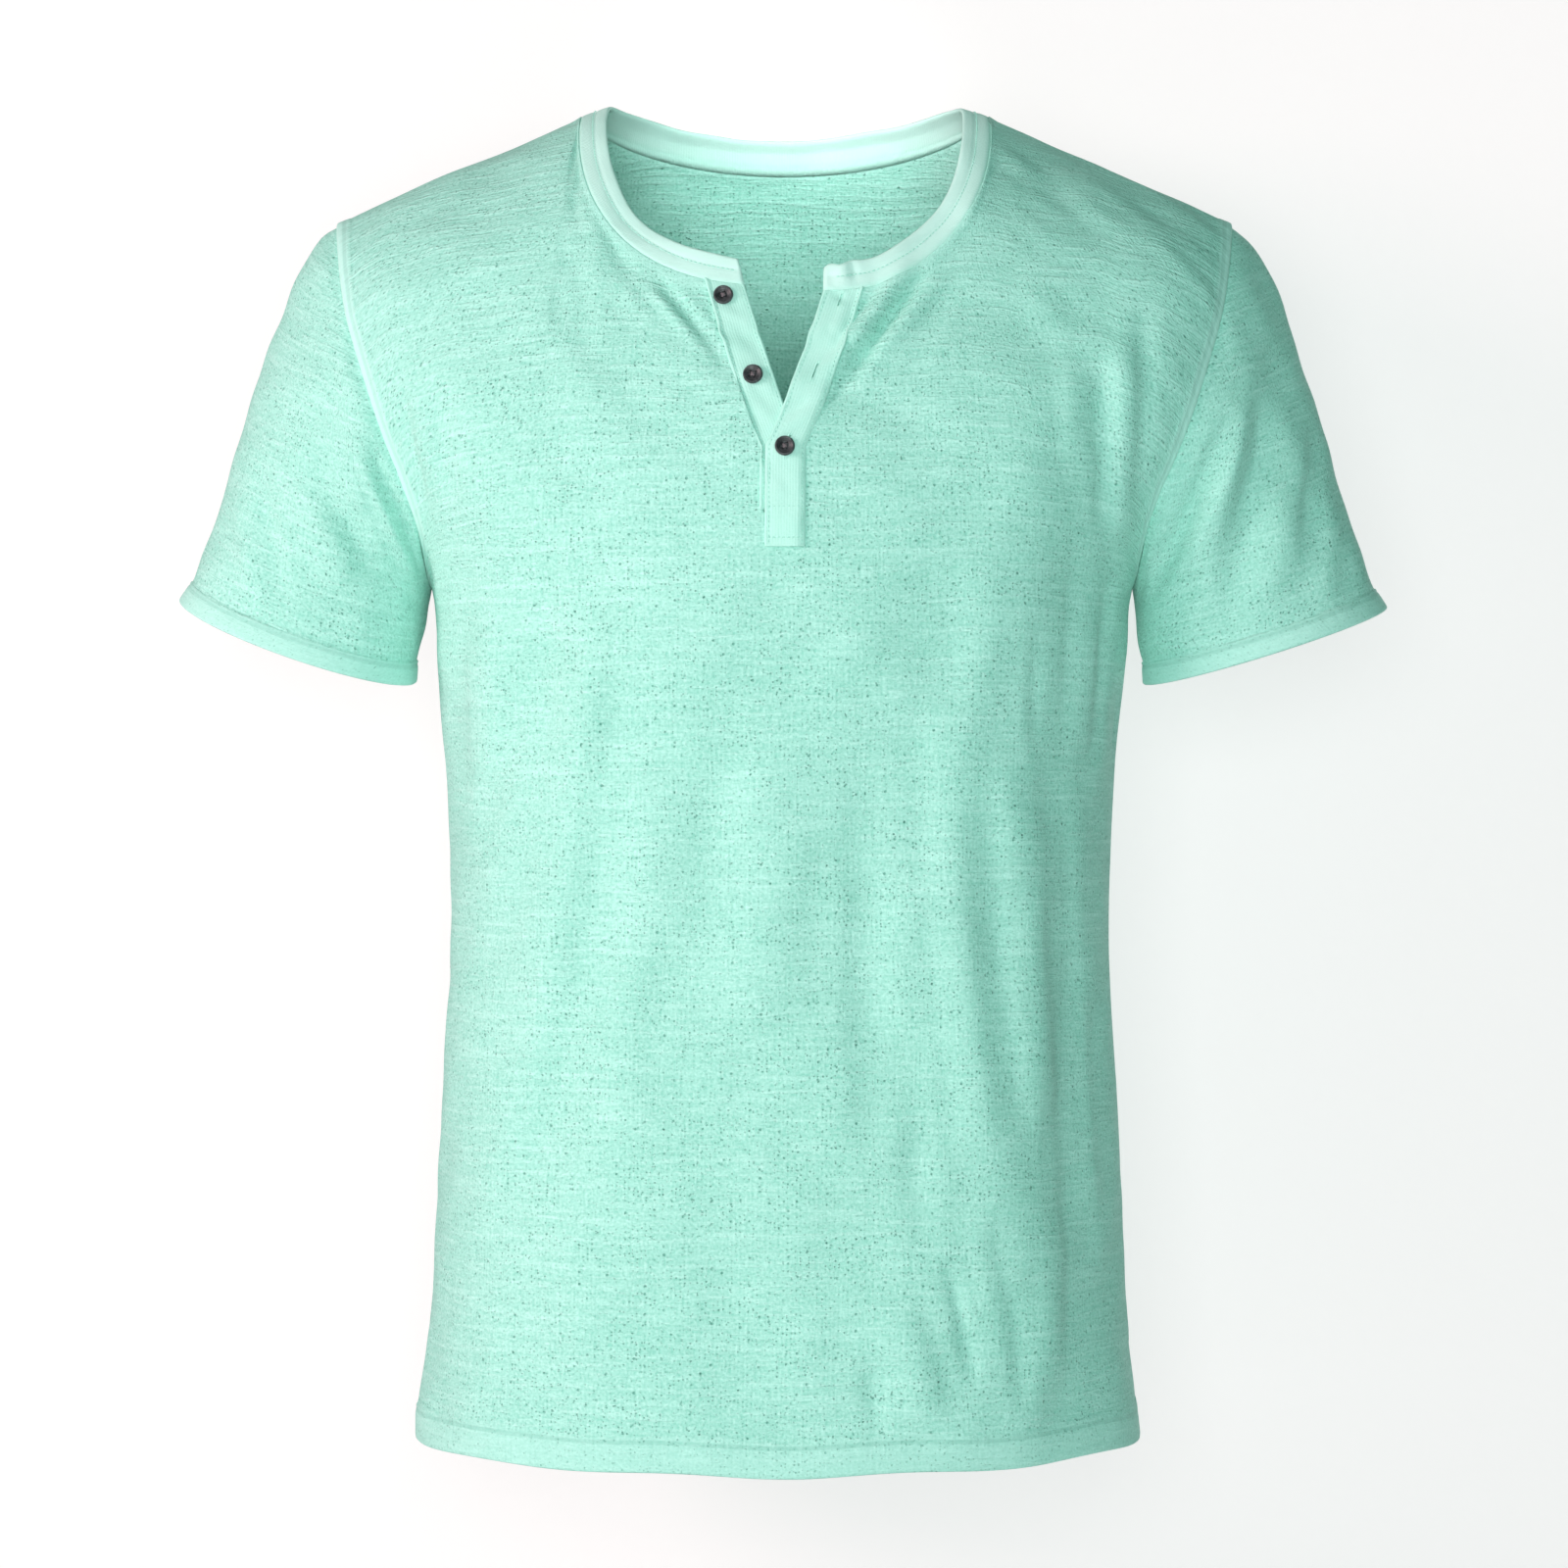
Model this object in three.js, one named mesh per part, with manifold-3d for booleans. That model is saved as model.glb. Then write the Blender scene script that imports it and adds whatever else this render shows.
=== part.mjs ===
// A short-sleeved henley shirt in light slub jersey, filled out as if worn, with its placket open at the neck.
// Millimetres, +Z up. The front faces -Y, the wearer's left is +X. The origin lies between the two neck points,
// at shoulder height, where a wearer's shoulders carry the shirt.
// Every cloth piece is a wall round a middle surface: the surface is a grid of points worked out from the sizes below.

import * as THREE from "three";
import Module from "manifold-3d";

// Wall thicknesses and gaps
const CLOTH = 1.2;
const FOLDED = 2.0;
const BAND_WALL = 1.8;
const LEAF_WALL = 1.6;
const SEAM_GAP = 0.5;
const BAND_GAP = { front: 0.6, side: 0.95, back: 0.45 };
const LAYER_GAP = 0.3;
const LEAF_GAP = 0.42;

// Heights of the main lines, measured down from the neck points
const HEM_Z = -693;
const HEM_DEPTH = 17;
const HEM_SIDE_LIFT = 5.2;
const ARMPIT_Z = -250;
const TIP_Z = -60.5;
const NECK_POINT_Z = -3;

// Neck opening
const NECK_HALF = 105.8;
const FRONT_NECK_DROP = 99.3;
const BACK_NECK_DROP = 18.6;
const NECK_SQUARENESS = 2.45;
const NECK_SAG = 4.5;
const NECK_SAG_X = 44;
const NECK_SAG_HALF = 52;
const NECK_SAG_FROM_Z = -180;
const BAND_WIDE = 14.2;
const BAND_END_HALF = 19.5;
const BAND_END_SLANT = 5;

// Shoulder ridge
const TIP_HALF = 232.6;
const SEAM_NECK_Y = 8;
const SEAM_TIP_Y = 3;
const ROLL_NECK = 75;
const ROLL_TIP = 62;
const ROLL_SQUARENESS = 1.8;

// Body section
const SQUARENESS = 2.3;

// Placket
const SLIT_HALF = 9.9;
const SLIT_SPREAD = 27.5;
const SPREAD_FROM_Z = -184;
const LEAF_WIDE = 19.4;
const LEAF_END_Z = -234;
const CROSSING_Z = -161;

// Sleeve cuffs, with the sleeve of the wearer's left hanging a little lower and wider
const CUFFS = {
  left: { x: 251, y: -4, z: -279.5, long: 65.2, deep: 48, tilt: 17.6, frontDrop: 5 },
  right: { x: 251.6, y: -4, z: -277, long: 64, deep: 50, tilt: 19.4, frontDrop: 9.5 },
};
const CUFF_BACK_LIFT = 2;
const CUFF_FOLD = 11.5;
const CUFF_FLARE = 3;
const UNDERARM_CLEARANCE = 1.7;

// Buttons
const BUTTON_RADIUS = 5;
const BUTTON_THICK = 2.4;
const BUTTON_SIDES = 20;

// Grid counts
const UPPER_ROWS = 14;
const SLIT_ROW = 2;
const NECK_CELLS = 9;
const SHOULDER_CELLS = 9;
const SLIT_CELLS = 3;
const BACK_NECK_CELLS = 7;
const SLEEVE_ROWS = 11;
const BAND_ROWS = 2;
const LEAF_CELLS = 2;

// The body's level sections: half is the half-width the front and back share, shift moves a section sideways.
// Above the armpit, half is where the front and back would meet if the armholes weren't cut away.
const SECTIONS = [
  { z: -693, half: 187.0, front: 124, back: 114, shift: -2.2 },
  { z: -670, half: 185.4, front: 123.5, back: 114, shift: -2.2 },
  { z: -640, half: 181.6, front: 122.5, back: 114, shift: -1.9 },
  { z: -600, half: 178.6, front: 121, back: 112, shift: -1.3 },
  { z: -524, half: 175.2, front: 116, back: 102, shift: -0.9 },
  { z: -433, half: 170.2, front: 111.5, back: 93, shift: -0.7 },
  { z: -341, half: 173.2, front: 114, back: 101, shift: -0.5 },
  { z: -290, half: 178.0, front: 119, back: 110, shift: 0 },
  { z: -250, half: 181.0, front: 121, back: 116, shift: 0 },
  { z: -221, half: 193.0, front: 120.5, back: 119, shift: 0.2 },
  { z: -190, half: 214.0, front: 117.5, back: 120, shift: 0.4 },
  { z: -152, half: 237.0, front: 109.5, back: 117, shift: 0.8 },
  { z: -110, half: 245.0, front: 95, back: 109, shift: 1 },
  { z: -60, half: 251.0, front: 76, back: 89, shift: 1.2 },
  { z: -20, half: 255.0, front: 62, back: 66, shift: 1.4 },
  { z: 10, half: 258.0, front: 54, back: 52, shift: 1.6 },
];

// The armhole edge's half-width at each height, and the shoulder ridge's height at each half-width.
const ARMHOLE = [
  { z: -250, x: 181 },
  { z: -221, x: 185.5 },
  { z: -190, x: 196 },
  { z: -152, x: 209 },
  { z: -110, x: 223 },
  { z: -60.5, x: 232.6 },
];
const RIDGE = [
  { x: 0, z: 62 },
  { x: 60, z: 46 },
  { x: 85, z: 22 },
  { x: 96, z: 6 },
  { x: 105.8, z: -3 },
  { x: 118, z: -9.3 },
  { x: 140, z: -19.5 },
  { x: 165.5, z: -30 },
  { x: 188, z: -40 },
  { x: 212, z: -50.5 },
  { x: 232.6, z: -60.5 },
  { x: 250, z: -71 },
];

// How steeply the neckband stands, in degrees above level, and which way the sleeve leaves the armhole and reaches the cuff.
const BAND_LEAN = { front: 70, side: 24, back: 74 };
const SLEEVE_RUN = {
  top: { leave: [92, 0, -44], arrive: [76, 0, -184] },
  front: { leave: [62, -26, -50], arrive: [26, 6, -105] },
  back: { leave: [62, 26, -50], arrive: [26, -6, -105] },
  under: { leave: [5, 0, -24], arrive: [9, 0, -32] },
};

// The largest folds: each is a soft ridge, or a trough where high is negative, along a line seen from the front or back.
// wide is half its width, and bend is how far its middle lies off the straight line, to +X on a line that runs down.
const FRONT_FOLDS = [
  { x0: -77, z0: -91, x1: -31, z1: -143, wide: 8, high: 2.2, bend: 0 },
  { x0: -60, z0: -98, x1: -26, z1: -145, wide: 7, high: -2.6, bend: 0 },
  { x0: 68, z0: -92, x1: 21, z1: -148, wide: 6.5, high: 2.4, bend: 0 },
  { x0: 74, z0: -95, x1: 27, z1: -153, wide: 7, high: -2.6, bend: 0 },
  { x0: -182, z0: -150, x1: -174, z1: -212, wide: 9, high: 2.6, bend: 0 },
  { x0: 159, z0: -138, x1: 162, z1: -215, wide: 9, high: -3.4, bend: 0 },
  { x0: 171, z0: -130, x1: 171, z1: -215, wide: 8, high: 3.2, bend: 0 },
  { x0: 142, z0: -205, x1: 128, z1: -345, wide: 22, high: -4.5, bend: 0 },
  { x0: 157, z0: -225, x1: 151, z1: -350, wide: 14, high: 3.2, bend: 0 },
  { x0: 98, z0: -235, x1: 97, z1: -345, wide: 17, high: 2.8, bend: 0 },
  { x0: 82, z0: -290, x1: 118, z1: -600, wide: 17, high: 4.6, bend: -9 },
  { x0: 98, z0: -335, x1: 126, z1: -600, wide: 11, high: -4.4, bend: -5 },
  { x0: 128, z0: -305, x1: 153, z1: -605, wide: 12, high: -4.2, bend: 0 },
  { x0: 109, z0: -330, x1: 137, z1: -590, wide: 8, high: 2.4, bend: 2 },
  { x0: 56, z0: -605, x1: 77, z1: -672, wide: 17, high: 2.6, bend: 0 },
  { x0: 134, z0: -560, x1: 131, z1: -655, wide: 14, high: 3, bend: 0 },
  { x0: -145, z0: -235, x1: -147, z1: -350, wide: 18, high: 3.2, bend: 0 },
  { x0: -118, z0: -240, x1: -119, z1: -345, wide: 14, high: -2.8, bend: 0 },
  { x0: -98, z0: -290, x1: -148, z1: -570, wide: 19, high: 3.8, bend: 9 },
  { x0: -80, z0: -300, x1: -127, z1: -560, wide: 16, high: -3.4, bend: 8 },
  { x0: -28, z0: -305, x1: -39, z1: -470, wide: 21, high: -2.4, bend: 0 },
  { x0: 40, z0: -330, x1: 44, z1: -540, wide: 20, high: -2.8, bend: 0 },
];
const BACK_FOLDS = [
  { x0: -178, z0: -150, x1: -168, z1: -345, wide: 17, high: 4, bend: 0 },
  { x0: 178, z0: -140, x1: 169, z1: -330, wide: 17, high: 4.2, bend: 0 },
  { x0: -150, z0: -170, x1: -138, z1: -390, wide: 17, high: -3.6, bend: 4 },
  { x0: 149, z0: -190, x1: 136, z1: -410, wide: 17, high: -3.6, bend: -4 },
  { x0: -96, z0: -280, x1: -86, z1: -640, wide: 24, high: 4.2, bend: 7 },
  { x0: 94, z0: -260, x1: 106, z1: -620, wide: 25, high: 4.2, bend: -7 },
  { x0: -48, z0: -330, x1: -34, z1: -610, wide: 22, high: -3.4, bend: 0 },
  { x0: 46, z0: -350, x1: 52, z1: -650, wide: 22, high: -3.4, bend: 0 },
  { x0: 4, z0: -320, x1: 8, z1: -600, wide: 24, high: 3.2, bend: 0 },
  { x0: -122, z0: -402, x1: 96, z1: -446, wide: 17, high: -2.4, bend: -8 },
];
const SLEEVE_FOLDS = [
  { x0: 225, z0: -142, x1: 191, z1: -222, wide: 13, high: 4, bend: 2 },
  { x0: 242, z0: -136, x1: 187, z1: -240, wide: 9, high: -4.6, bend: 9 },
  { x0: 246, z0: -175, x1: 216, z1: -258, wide: 17, high: 4.2, bend: 0 },
  { x0: 257, z0: -168, x1: 229, z1: -262, wide: 9, high: -4, bend: 0 },
  { x0: 270, z0: -176, x1: 254, z1: -255, wide: 8, high: -3, bend: 0 },
  { x0: -210, z0: -182, x1: -181, z1: -246, wide: 8, high: -3.6, bend: 0 },
  { x0: -238, z0: -190, x1: -205, z1: -242, wide: 14, high: -2.8, bend: 0 },
  { x0: -249, z0: -198, x1: -212, z1: -260, wide: 16, high: 3, bend: 0 },
  { x0: -268, z0: -185, x1: -254, z1: -262, wide: 10, high: -2.6, bend: 0 },
];
const SLEEVE_BACK_FOLDS = [
  { x0: 236, z0: -132, x1: 190, z1: -236, wide: 10, high: -4, bend: 7 },
  { x0: 218, z0: -140, x1: 188, z1: -214, wide: 12, high: 3.4, bend: 0 },
  { x0: 262, z0: -160, x1: 236, z1: -256, wide: 11, high: -3, bend: 0 },
  { x0: -232, z0: -136, x1: -191, z1: -240, wide: 10, high: -3.8, bend: -6 },
  { x0: -246, z0: -172, x1: -214, z1: -256, wide: 15, high: 3.2, bend: 0 },
  { x0: -266, z0: -166, x1: -246, z1: -256, wide: 10, high: -2.8, bend: 0 },
];

// Buttons as they lie on the leaves, and the two empty buttonholes' leaf carries none.
const BUTTONS = [
  { name: "button_top", x: -29.2, z: -107.5, layer: "under" },
  { name: "button_middle", x: -14.2, z: -148.4, layer: "under" },
  { name: "button_bottom", x: 1.3, z: -184.5, layer: "over" },
];

const COLOURS = { cloth: 0xa6ecd6, rib: 0xb4f3e0, button: 0x3b3033 };

// Smooth reading of one column of a table at a value of its key column.
function read(table, key, column, at) {
  const last = table.length - 1;
  const t = THREE.MathUtils.clamp(
    at,
    Math.min(table[0][key], table[last][key]),
    Math.max(table[0][key], table[last][key]),
  );
  let i = 0;
  while (i < last - 1 && t > table[i + 1][key]) i += 1;
  const slope = (k) => {
    const a = Math.max(k - 1, 0);
    const b = Math.min(k + 1, last);
    return (table[b][column] - table[a][column]) / (table[b][key] - table[a][key]);
  };
  const span = table[i + 1][key] - table[i][key];
  const u = (t - table[i][key]) / span;
  return (
    table[i][column] * (2 * u ** 3 - 3 * u ** 2 + 1) +
    slope(i) * span * (u ** 3 - 2 * u ** 2 + u) +
    table[i + 1][column] * (3 * u ** 2 - 2 * u ** 3) +
    slope(i + 1) * span * (u ** 3 - u ** 2)
  );
}

const mix = (a, b, t) => a + (b - a) * t;
const ease = (t) => THREE.MathUtils.smoothstep(t, 0, 1);
const section = (z, column) => read(SECTIONS, "z", column, z);
const armholeX = (z) => read(ARMHOLE, "z", "x", z);
const ridgeZ = (x) => read(RIDGE, "x", "z", Math.abs(x));

// How far round a quarter section the half-width x lies, as an angle from the centre line.
function angleAt(x, half, squareness) {
  return Math.asin(Math.min(1, (Math.abs(x) / half) ** (squareness / 2)));
}

// The depth of the front (face -1) or back (face 1) at a place seen from the front. Near the shoulder ridge it rolls over.
function depthAt(x, z, face) {
  const half = section(z, "half");
  const full = section(z, face < 0 ? "front" : "back");
  const across = Math.min(1, Math.abs(x) / half);
  const depth = full * (1 - across ** SQUARENESS) ** (1 / SQUARENESS);
  const share = THREE.MathUtils.clamp((Math.abs(x) - NECK_HALF) / (TIP_HALF - NECK_HALF), 0, 1);
  const seamY = mix(SEAM_NECK_Y, SEAM_TIP_Y, share);
  const below = THREE.MathUtils.clamp((ridgeZ(x) - z) / mix(ROLL_NECK, ROLL_TIP, share), 0, 1);
  const roll = (1 - (1 - below) ** ROLL_SQUARENESS) ** (1 / ROLL_SQUARENESS);
  return seamY * (1 - roll) + face * depth * roll;
}

function bodyPoint(x, z, face) {
  return new THREE.Vector3(x + section(z, "shift"), depthAt(x, z, face) + (face * SEAM_GAP) / 2, z);
}

// Half the slit's width, which spreads from the crossing up to the neckline.
function slitHalf(z) {
  const t = Math.max(0, (z - SPREAD_FROM_Z) / (NECK_POINT_Z - FRONT_NECK_DROP - SPREAD_FROM_Z));
  return SLIT_HALF + SLIT_SPREAD * t ** 0.85;
}

// The neckline seam at an angle from the centre front or back (0) to the neck point (a quarter turn).
function necklineAt(angle, face) {
  const power = 2 / NECK_SQUARENESS;
  const x = NECK_HALF * Math.sin(angle) ** power;
  if (face < 0) return { x, z: NECK_POINT_Z - FRONT_NECK_DROP * Math.cos(angle) ** power };
  return { x, z: NECK_POINT_Z - BACK_NECK_DROP * (1 - (x / NECK_HALF) ** 2) };
}

// On the wearer's left the open placket lets the front of the neckline sag a little.
function sag(x, z) {
  const across = Math.max(0, 1 - ((x - NECK_SAG_X) / NECK_SAG_HALF) ** 2) ** 2;
  const rise = THREE.MathUtils.clamp((z - NECK_SAG_FROM_Z) / (NECK_POINT_Z - FRONT_NECK_DROP - NECK_SAG_FROM_Z), 0, 1);
  return NECK_SAG * across * rise;
}

function necklineZ(x) {
  const t = Math.abs(x) / NECK_HALF;
  const z = NECK_POINT_Z - FRONT_NECK_DROP * (1 - t ** NECK_SQUARENESS) ** (1 / NECK_SQUARENESS);
  return z - sag(x, z);
}

// Rows above the armpit gather towards the shoulder, where the cloth rolls over.
const rowShare = (k) => Math.sin((Math.PI / 2) * (k / UPPER_ROWS));

// Heights of the level rows from the hem to the armpit. Two close rows mark the top of the hem's turned edge.
function lowerRows() {
  const rows = [HEM_Z, HEM_Z + HEM_DEPTH - 1, HEM_Z + HEM_DEPTH];
  const count = 13;
  for (let k = 1; k <= count; k += 1) rows.push(mix(HEM_Z + HEM_DEPTH, ARMPIT_Z, k / count));
  return rows;
}
const LOWER = lowerRows();

// Where a half panel's column ends on the neckline (share 0 to 1) or on the shoulder seam (share 1 to 2).
function topOf(share, face, inner) {
  if (share <= 1) return necklineAt(mix(angleAt(inner, NECK_HALF, NECK_SQUARENESS), Math.PI / 2, share), face);
  const x = mix(NECK_HALF, TIP_HALF, share - 1);
  return { x, z: ridgeZ(x) };
}

// One column of a half panel, from hem to top. across runs from 0 at the centre or slit to 1 at the side.
function columnPlaces(across, share, face, innerAt) {
  const places = [];
  const reach = (z) => {
    const half = section(z, "half");
    const angle = mix(angleAt(innerAt(z), half, SQUARENESS), Math.PI / 2, across);
    return half * Math.sin(angle) ** (2 / SQUARENESS);
  };
  LOWER.forEach((z) => {
    const x = reach(z);
    const fade = THREE.MathUtils.clamp(1 - (z - HEM_Z - HEM_DEPTH) / 130, 0, 1);
    places.push({ x, z: z + HEM_SIDE_LIFT * fade * (x / section(z, "half")) ** 1.3 });
  });
  const base = reach(ARMPIT_Z);
  const top = topOf(share, face, innerAt(NECK_POINT_Z - FRONT_NECK_DROP));
  const innerTop = topOf(0, face, innerAt(NECK_POINT_Z - FRONT_NECK_DROP));
  for (let k = 1; k <= UPPER_ROWS; k += 1) {
    const t = rowShare(k);
    const z = mix(ARMPIT_Z, top.z, t);
    const innerZ = mix(ARMPIT_Z, innerTop.z, t);
    const outerZ = mix(ARMPIT_Z, TIP_Z, t);
    const innerMiss = innerAt(innerZ) - mix(innerAt(ARMPIT_Z), innerTop.x, t);
    const outerMiss = armholeX(outerZ) - mix(armholeX(ARMPIT_Z), TIP_HALF, t);
    const x = mix(base, top.x, t) + innerMiss * (1 - across) ** 2 + outerMiss * across ** 2;
    places.push({ x, z });
  }
  return places;
}

// A soft ridge or trough's height at a place seen from the front or back.
function foldHeight(folds, x, z) {
  return folds.reduce((sum, f) => {
    const dx = f.x1 - f.x0;
    const dz = f.z1 - f.z0;
    const along = ((x - f.x0) * dx + (z - f.z0) * dz) / (dx * dx + dz * dz);
    if (along <= 0 || along >= 1) return sum;
    const aside = ((z - f.z0) * dx - (x - f.x0) * dz) / Math.hypot(dx, dz);
    const off = (aside - f.bend * 4 * along * (1 - along)) / f.wide;
    if (Math.abs(off) >= 1) return sum;
    return sum + f.high * (1 - off * off) ** 2 * Math.sin(Math.PI * along) ** 0.8;
  }, 0);
}

// Normals of a grid of points, from the cells that are kept. cross of the two grid directions points out of the cloth.
function gridNormals(grid, kept, wraps) {
  const columns = grid.length;
  const rows = grid[0].length;
  const normals = grid.map((column) => column.map(() => new THREE.Vector3()));
  const cells = wraps ? columns : columns - 1;
  for (let i = 0; i < cells; i += 1) {
    const next = (i + 1) % columns;
    for (let j = 0; j < rows - 1; j += 1) {
      if (!kept(i, j)) continue;
      const a = new THREE.Vector3().subVectors(grid[next][j + 1], grid[i][j]);
      const b = new THREE.Vector3().subVectors(grid[i][j + 1], grid[next][j]);
      const out = a.cross(b);
      [normals[i][j], normals[next][j], normals[i][j + 1], normals[next][j + 1]].forEach((n) => n.add(out));
    }
  }
  normals.forEach((column) => column.forEach((n) => n.normalize()));
  return normals;
}

const keepAll = () => true;

// Moves a grid's points along its normals by the folds that face the viewer on that side. fade is a row's share of them.
function fold(grid, folds, face, kept = keepAll, wraps = false, fade = () => 1) {
  const normals = gridNormals(grid, kept, wraps);
  return grid.map((column, i) =>
    column.map((p, j) => {
      const facing = THREE.MathUtils.clamp(normals[i][j].y * face * 1.6, 0, 1);
      return p.clone().addScaledVector(normals[i][j], foldHeight(folds, p.x, p.z) * facing * fade(j));
    }),
  );
}

// A closed wall round a grid of points: outer and inner give how far each face lies from the middle surface.
function wall(grid, outer, inner, kept = keepAll, wraps = false) {
  const columns = grid.length;
  const rows = grid[0].length;
  const normals = gridNormals(grid, kept, wraps);
  const positions = [];
  const place = (i, j, distance) => {
    const p = grid[i][j].clone().addScaledVector(normals[i][j], distance);
    positions.push(p.x, p.y, p.z);
  };
  for (let i = 0; i < columns; i += 1) {
    for (let j = 0; j < rows; j += 1) {
      place(i, j, outer(i, j));
      place(i, j, -inner(i, j));
    }
  }
  const at = (i, j, side) => 2 * ((i % columns) * rows + j) + side;
  const cells = wraps ? columns : columns - 1;
  const on = (i, j) => {
    if (j < 0 || j >= rows - 1) return false;
    if (wraps) return kept((i + cells) % cells, j);
    return i >= 0 && i < cells && kept(i, j);
  };
  const index = [];
  const quad = (a, b, c, d) => index.push(a, b, c, a, c, d);
  for (let i = 0; i < cells; i += 1) {
    for (let j = 0; j < rows - 1; j += 1) {
      if (!on(i, j)) continue;
      quad(at(i, j, 0), at(i + 1, j, 0), at(i + 1, j + 1, 0), at(i, j + 1, 0));
      quad(at(i, j, 1), at(i, j + 1, 1), at(i + 1, j + 1, 1), at(i + 1, j, 1));
      if (!on(i, j - 1)) quad(at(i, j, 1), at(i + 1, j, 1), at(i + 1, j, 0), at(i, j, 0));
      if (!on(i, j + 1)) quad(at(i, j + 1, 0), at(i + 1, j + 1, 0), at(i + 1, j + 1, 1), at(i, j + 1, 1));
      if (!on(i - 1, j)) quad(at(i, j, 0), at(i, j + 1, 0), at(i, j + 1, 1), at(i, j, 1));
      if (!on(i + 1, j)) quad(at(i + 1, j, 1), at(i + 1, j + 1, 1), at(i + 1, j + 1, 0), at(i + 1, j, 0));
    }
  }
  const geometry = new THREE.BufferGeometry();
  geometry.setAttribute("position", new THREE.Float32BufferAttribute(positions, 3));
  geometry.setIndex(index);
  return compact(geometry);
}

// Drops the points that no triangle uses.
function compact(geometry) {
  const used = new Map();
  const positions = [];
  const source = geometry.getAttribute("position");
  const index = Array.from(geometry.getIndex().array, (v) => {
    if (!used.has(v)) {
      used.set(v, used.size);
      positions.push(source.getX(v), source.getY(v), source.getZ(v));
    }
    return used.get(v);
  });
  const made = new THREE.BufferGeometry();
  made.setAttribute("position", new THREE.Float32BufferAttribute(positions, 3));
  made.setIndex(index);
  made.computeVertexNormals();
  return made;
}

// Front panel: two half panels and the strip below the slit, as one grid from the wearer's right to left.
function frontGrid() {
  const halfColumns = [];
  const count = NECK_CELLS + SHOULDER_CELLS;
  for (let k = 0; k <= count; k += 1) {
    const share = k <= NECK_CELLS ? k / NECK_CELLS : 1 + (k - NECK_CELLS) / SHOULDER_CELLS;
    halfColumns.push(columnPlaces(k / count, share, -1, slitHalf));
  }
  const middle = [];
  for (let k = 1; k < SLIT_CELLS; k += 1) {
    const at = mix(-1, 1, k / SLIT_CELLS);
    middle.push(halfColumns[0].map((p) => bodyPoint(p.x * at, p.z, -1)));
  }
  const side = (sign) =>
    halfColumns.map((column) => column.map((p) => bodyPoint(p.x * sign, p.z - sag(p.x * sign, p.z), -1)));
  return [...side(-1).reverse(), ...middle, ...side(1)];
}

const SLIT_FROM = NECK_CELLS + SHOULDER_CELLS;
const slitBottomRow = LOWER.length - 1 + SLIT_ROW;
const keptFront = (i, j) => i < SLIT_FROM || i >= SLIT_FROM + SLIT_CELLS || j < slitBottomRow;
const front = fold(frontGrid(), FRONT_FOLDS, -1, keptFront);

// Back panel, from the wearer's left to right, so that its outside faces back.
function backGrid() {
  const count = BACK_NECK_CELLS + SHOULDER_CELLS;
  const halfColumns = [];
  for (let k = 0; k <= count; k += 1) {
    const share = k <= BACK_NECK_CELLS ? k / BACK_NECK_CELLS : 1 + (k - BACK_NECK_CELLS) / SHOULDER_CELLS;
    halfColumns.push(columnPlaces(k / count, share, 1, () => 0));
  }
  const side = (sign) => halfColumns.map((column) => column.map((p) => bodyPoint(p.x * sign, p.z, 1)));
  return [...side(1).reverse(), ...side(-1).slice(1)];
}
const back = fold(backGrid(), BACK_FOLDS, 1);

// The turned hem is the panel's lowest rows, with its second layer inside.
const HEM_TOP_ROW = 1;
const half = () => CLOTH / 2;
const hemInside = (i, j) => (j <= HEM_TOP_ROW ? FOLDED - CLOTH / 2 : CLOTH / 2);

// Sleeves. Round the sleeve the points run from the underarm up the front to the shoulder and down the back.
function weights(turn) {
  const c = Math.cos(turn) ** 2;
  return { under: turn < Math.PI / 2 ? c : 0, top: turn > Math.PI / 2 ? c : 0, side: Math.sin(turn) ** 2 };
}

function runVector(turn, face, end) {
  const w = weights(turn);
  const sum = new THREE.Vector3();
  sum.addScaledVector(new THREE.Vector3(...SLEEVE_RUN.under[end]), w.under);
  sum.addScaledVector(new THREE.Vector3(...SLEEVE_RUN.top[end]), w.top);
  sum.addScaledVector(new THREE.Vector3(...SLEEVE_RUN[face < 0 ? "front" : "back"][end]), w.side);
  return sum;
}

// A point round the cuff, at a distance up from its edge, where the turned cloth stands a little proud.
function cuffPoint(cuff, turn, face, up) {
  const tilt = THREE.MathUtils.degToRad(cuff.tilt);
  const flare = CUFF_FLARE * (1 - up / CUFF_FOLD);
  const reach = -Math.cos(turn) * (cuff.long - CUFF_FLARE + flare);
  const p = new THREE.Vector3(cuff.x, cuff.y, cuff.z);
  p.x += Math.cos(tilt) * reach - Math.sin(tilt) * up;
  p.z += Math.sin(tilt) * reach + Math.cos(tilt) * up;
  p.y += face * Math.sin(turn) * (cuff.deep - CUFF_FLARE + flare);
  p.z += Math.sin(turn) * (face < 0 ? -cuff.frontDrop : CUFF_BACK_LIFT);
  return p;
}

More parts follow.
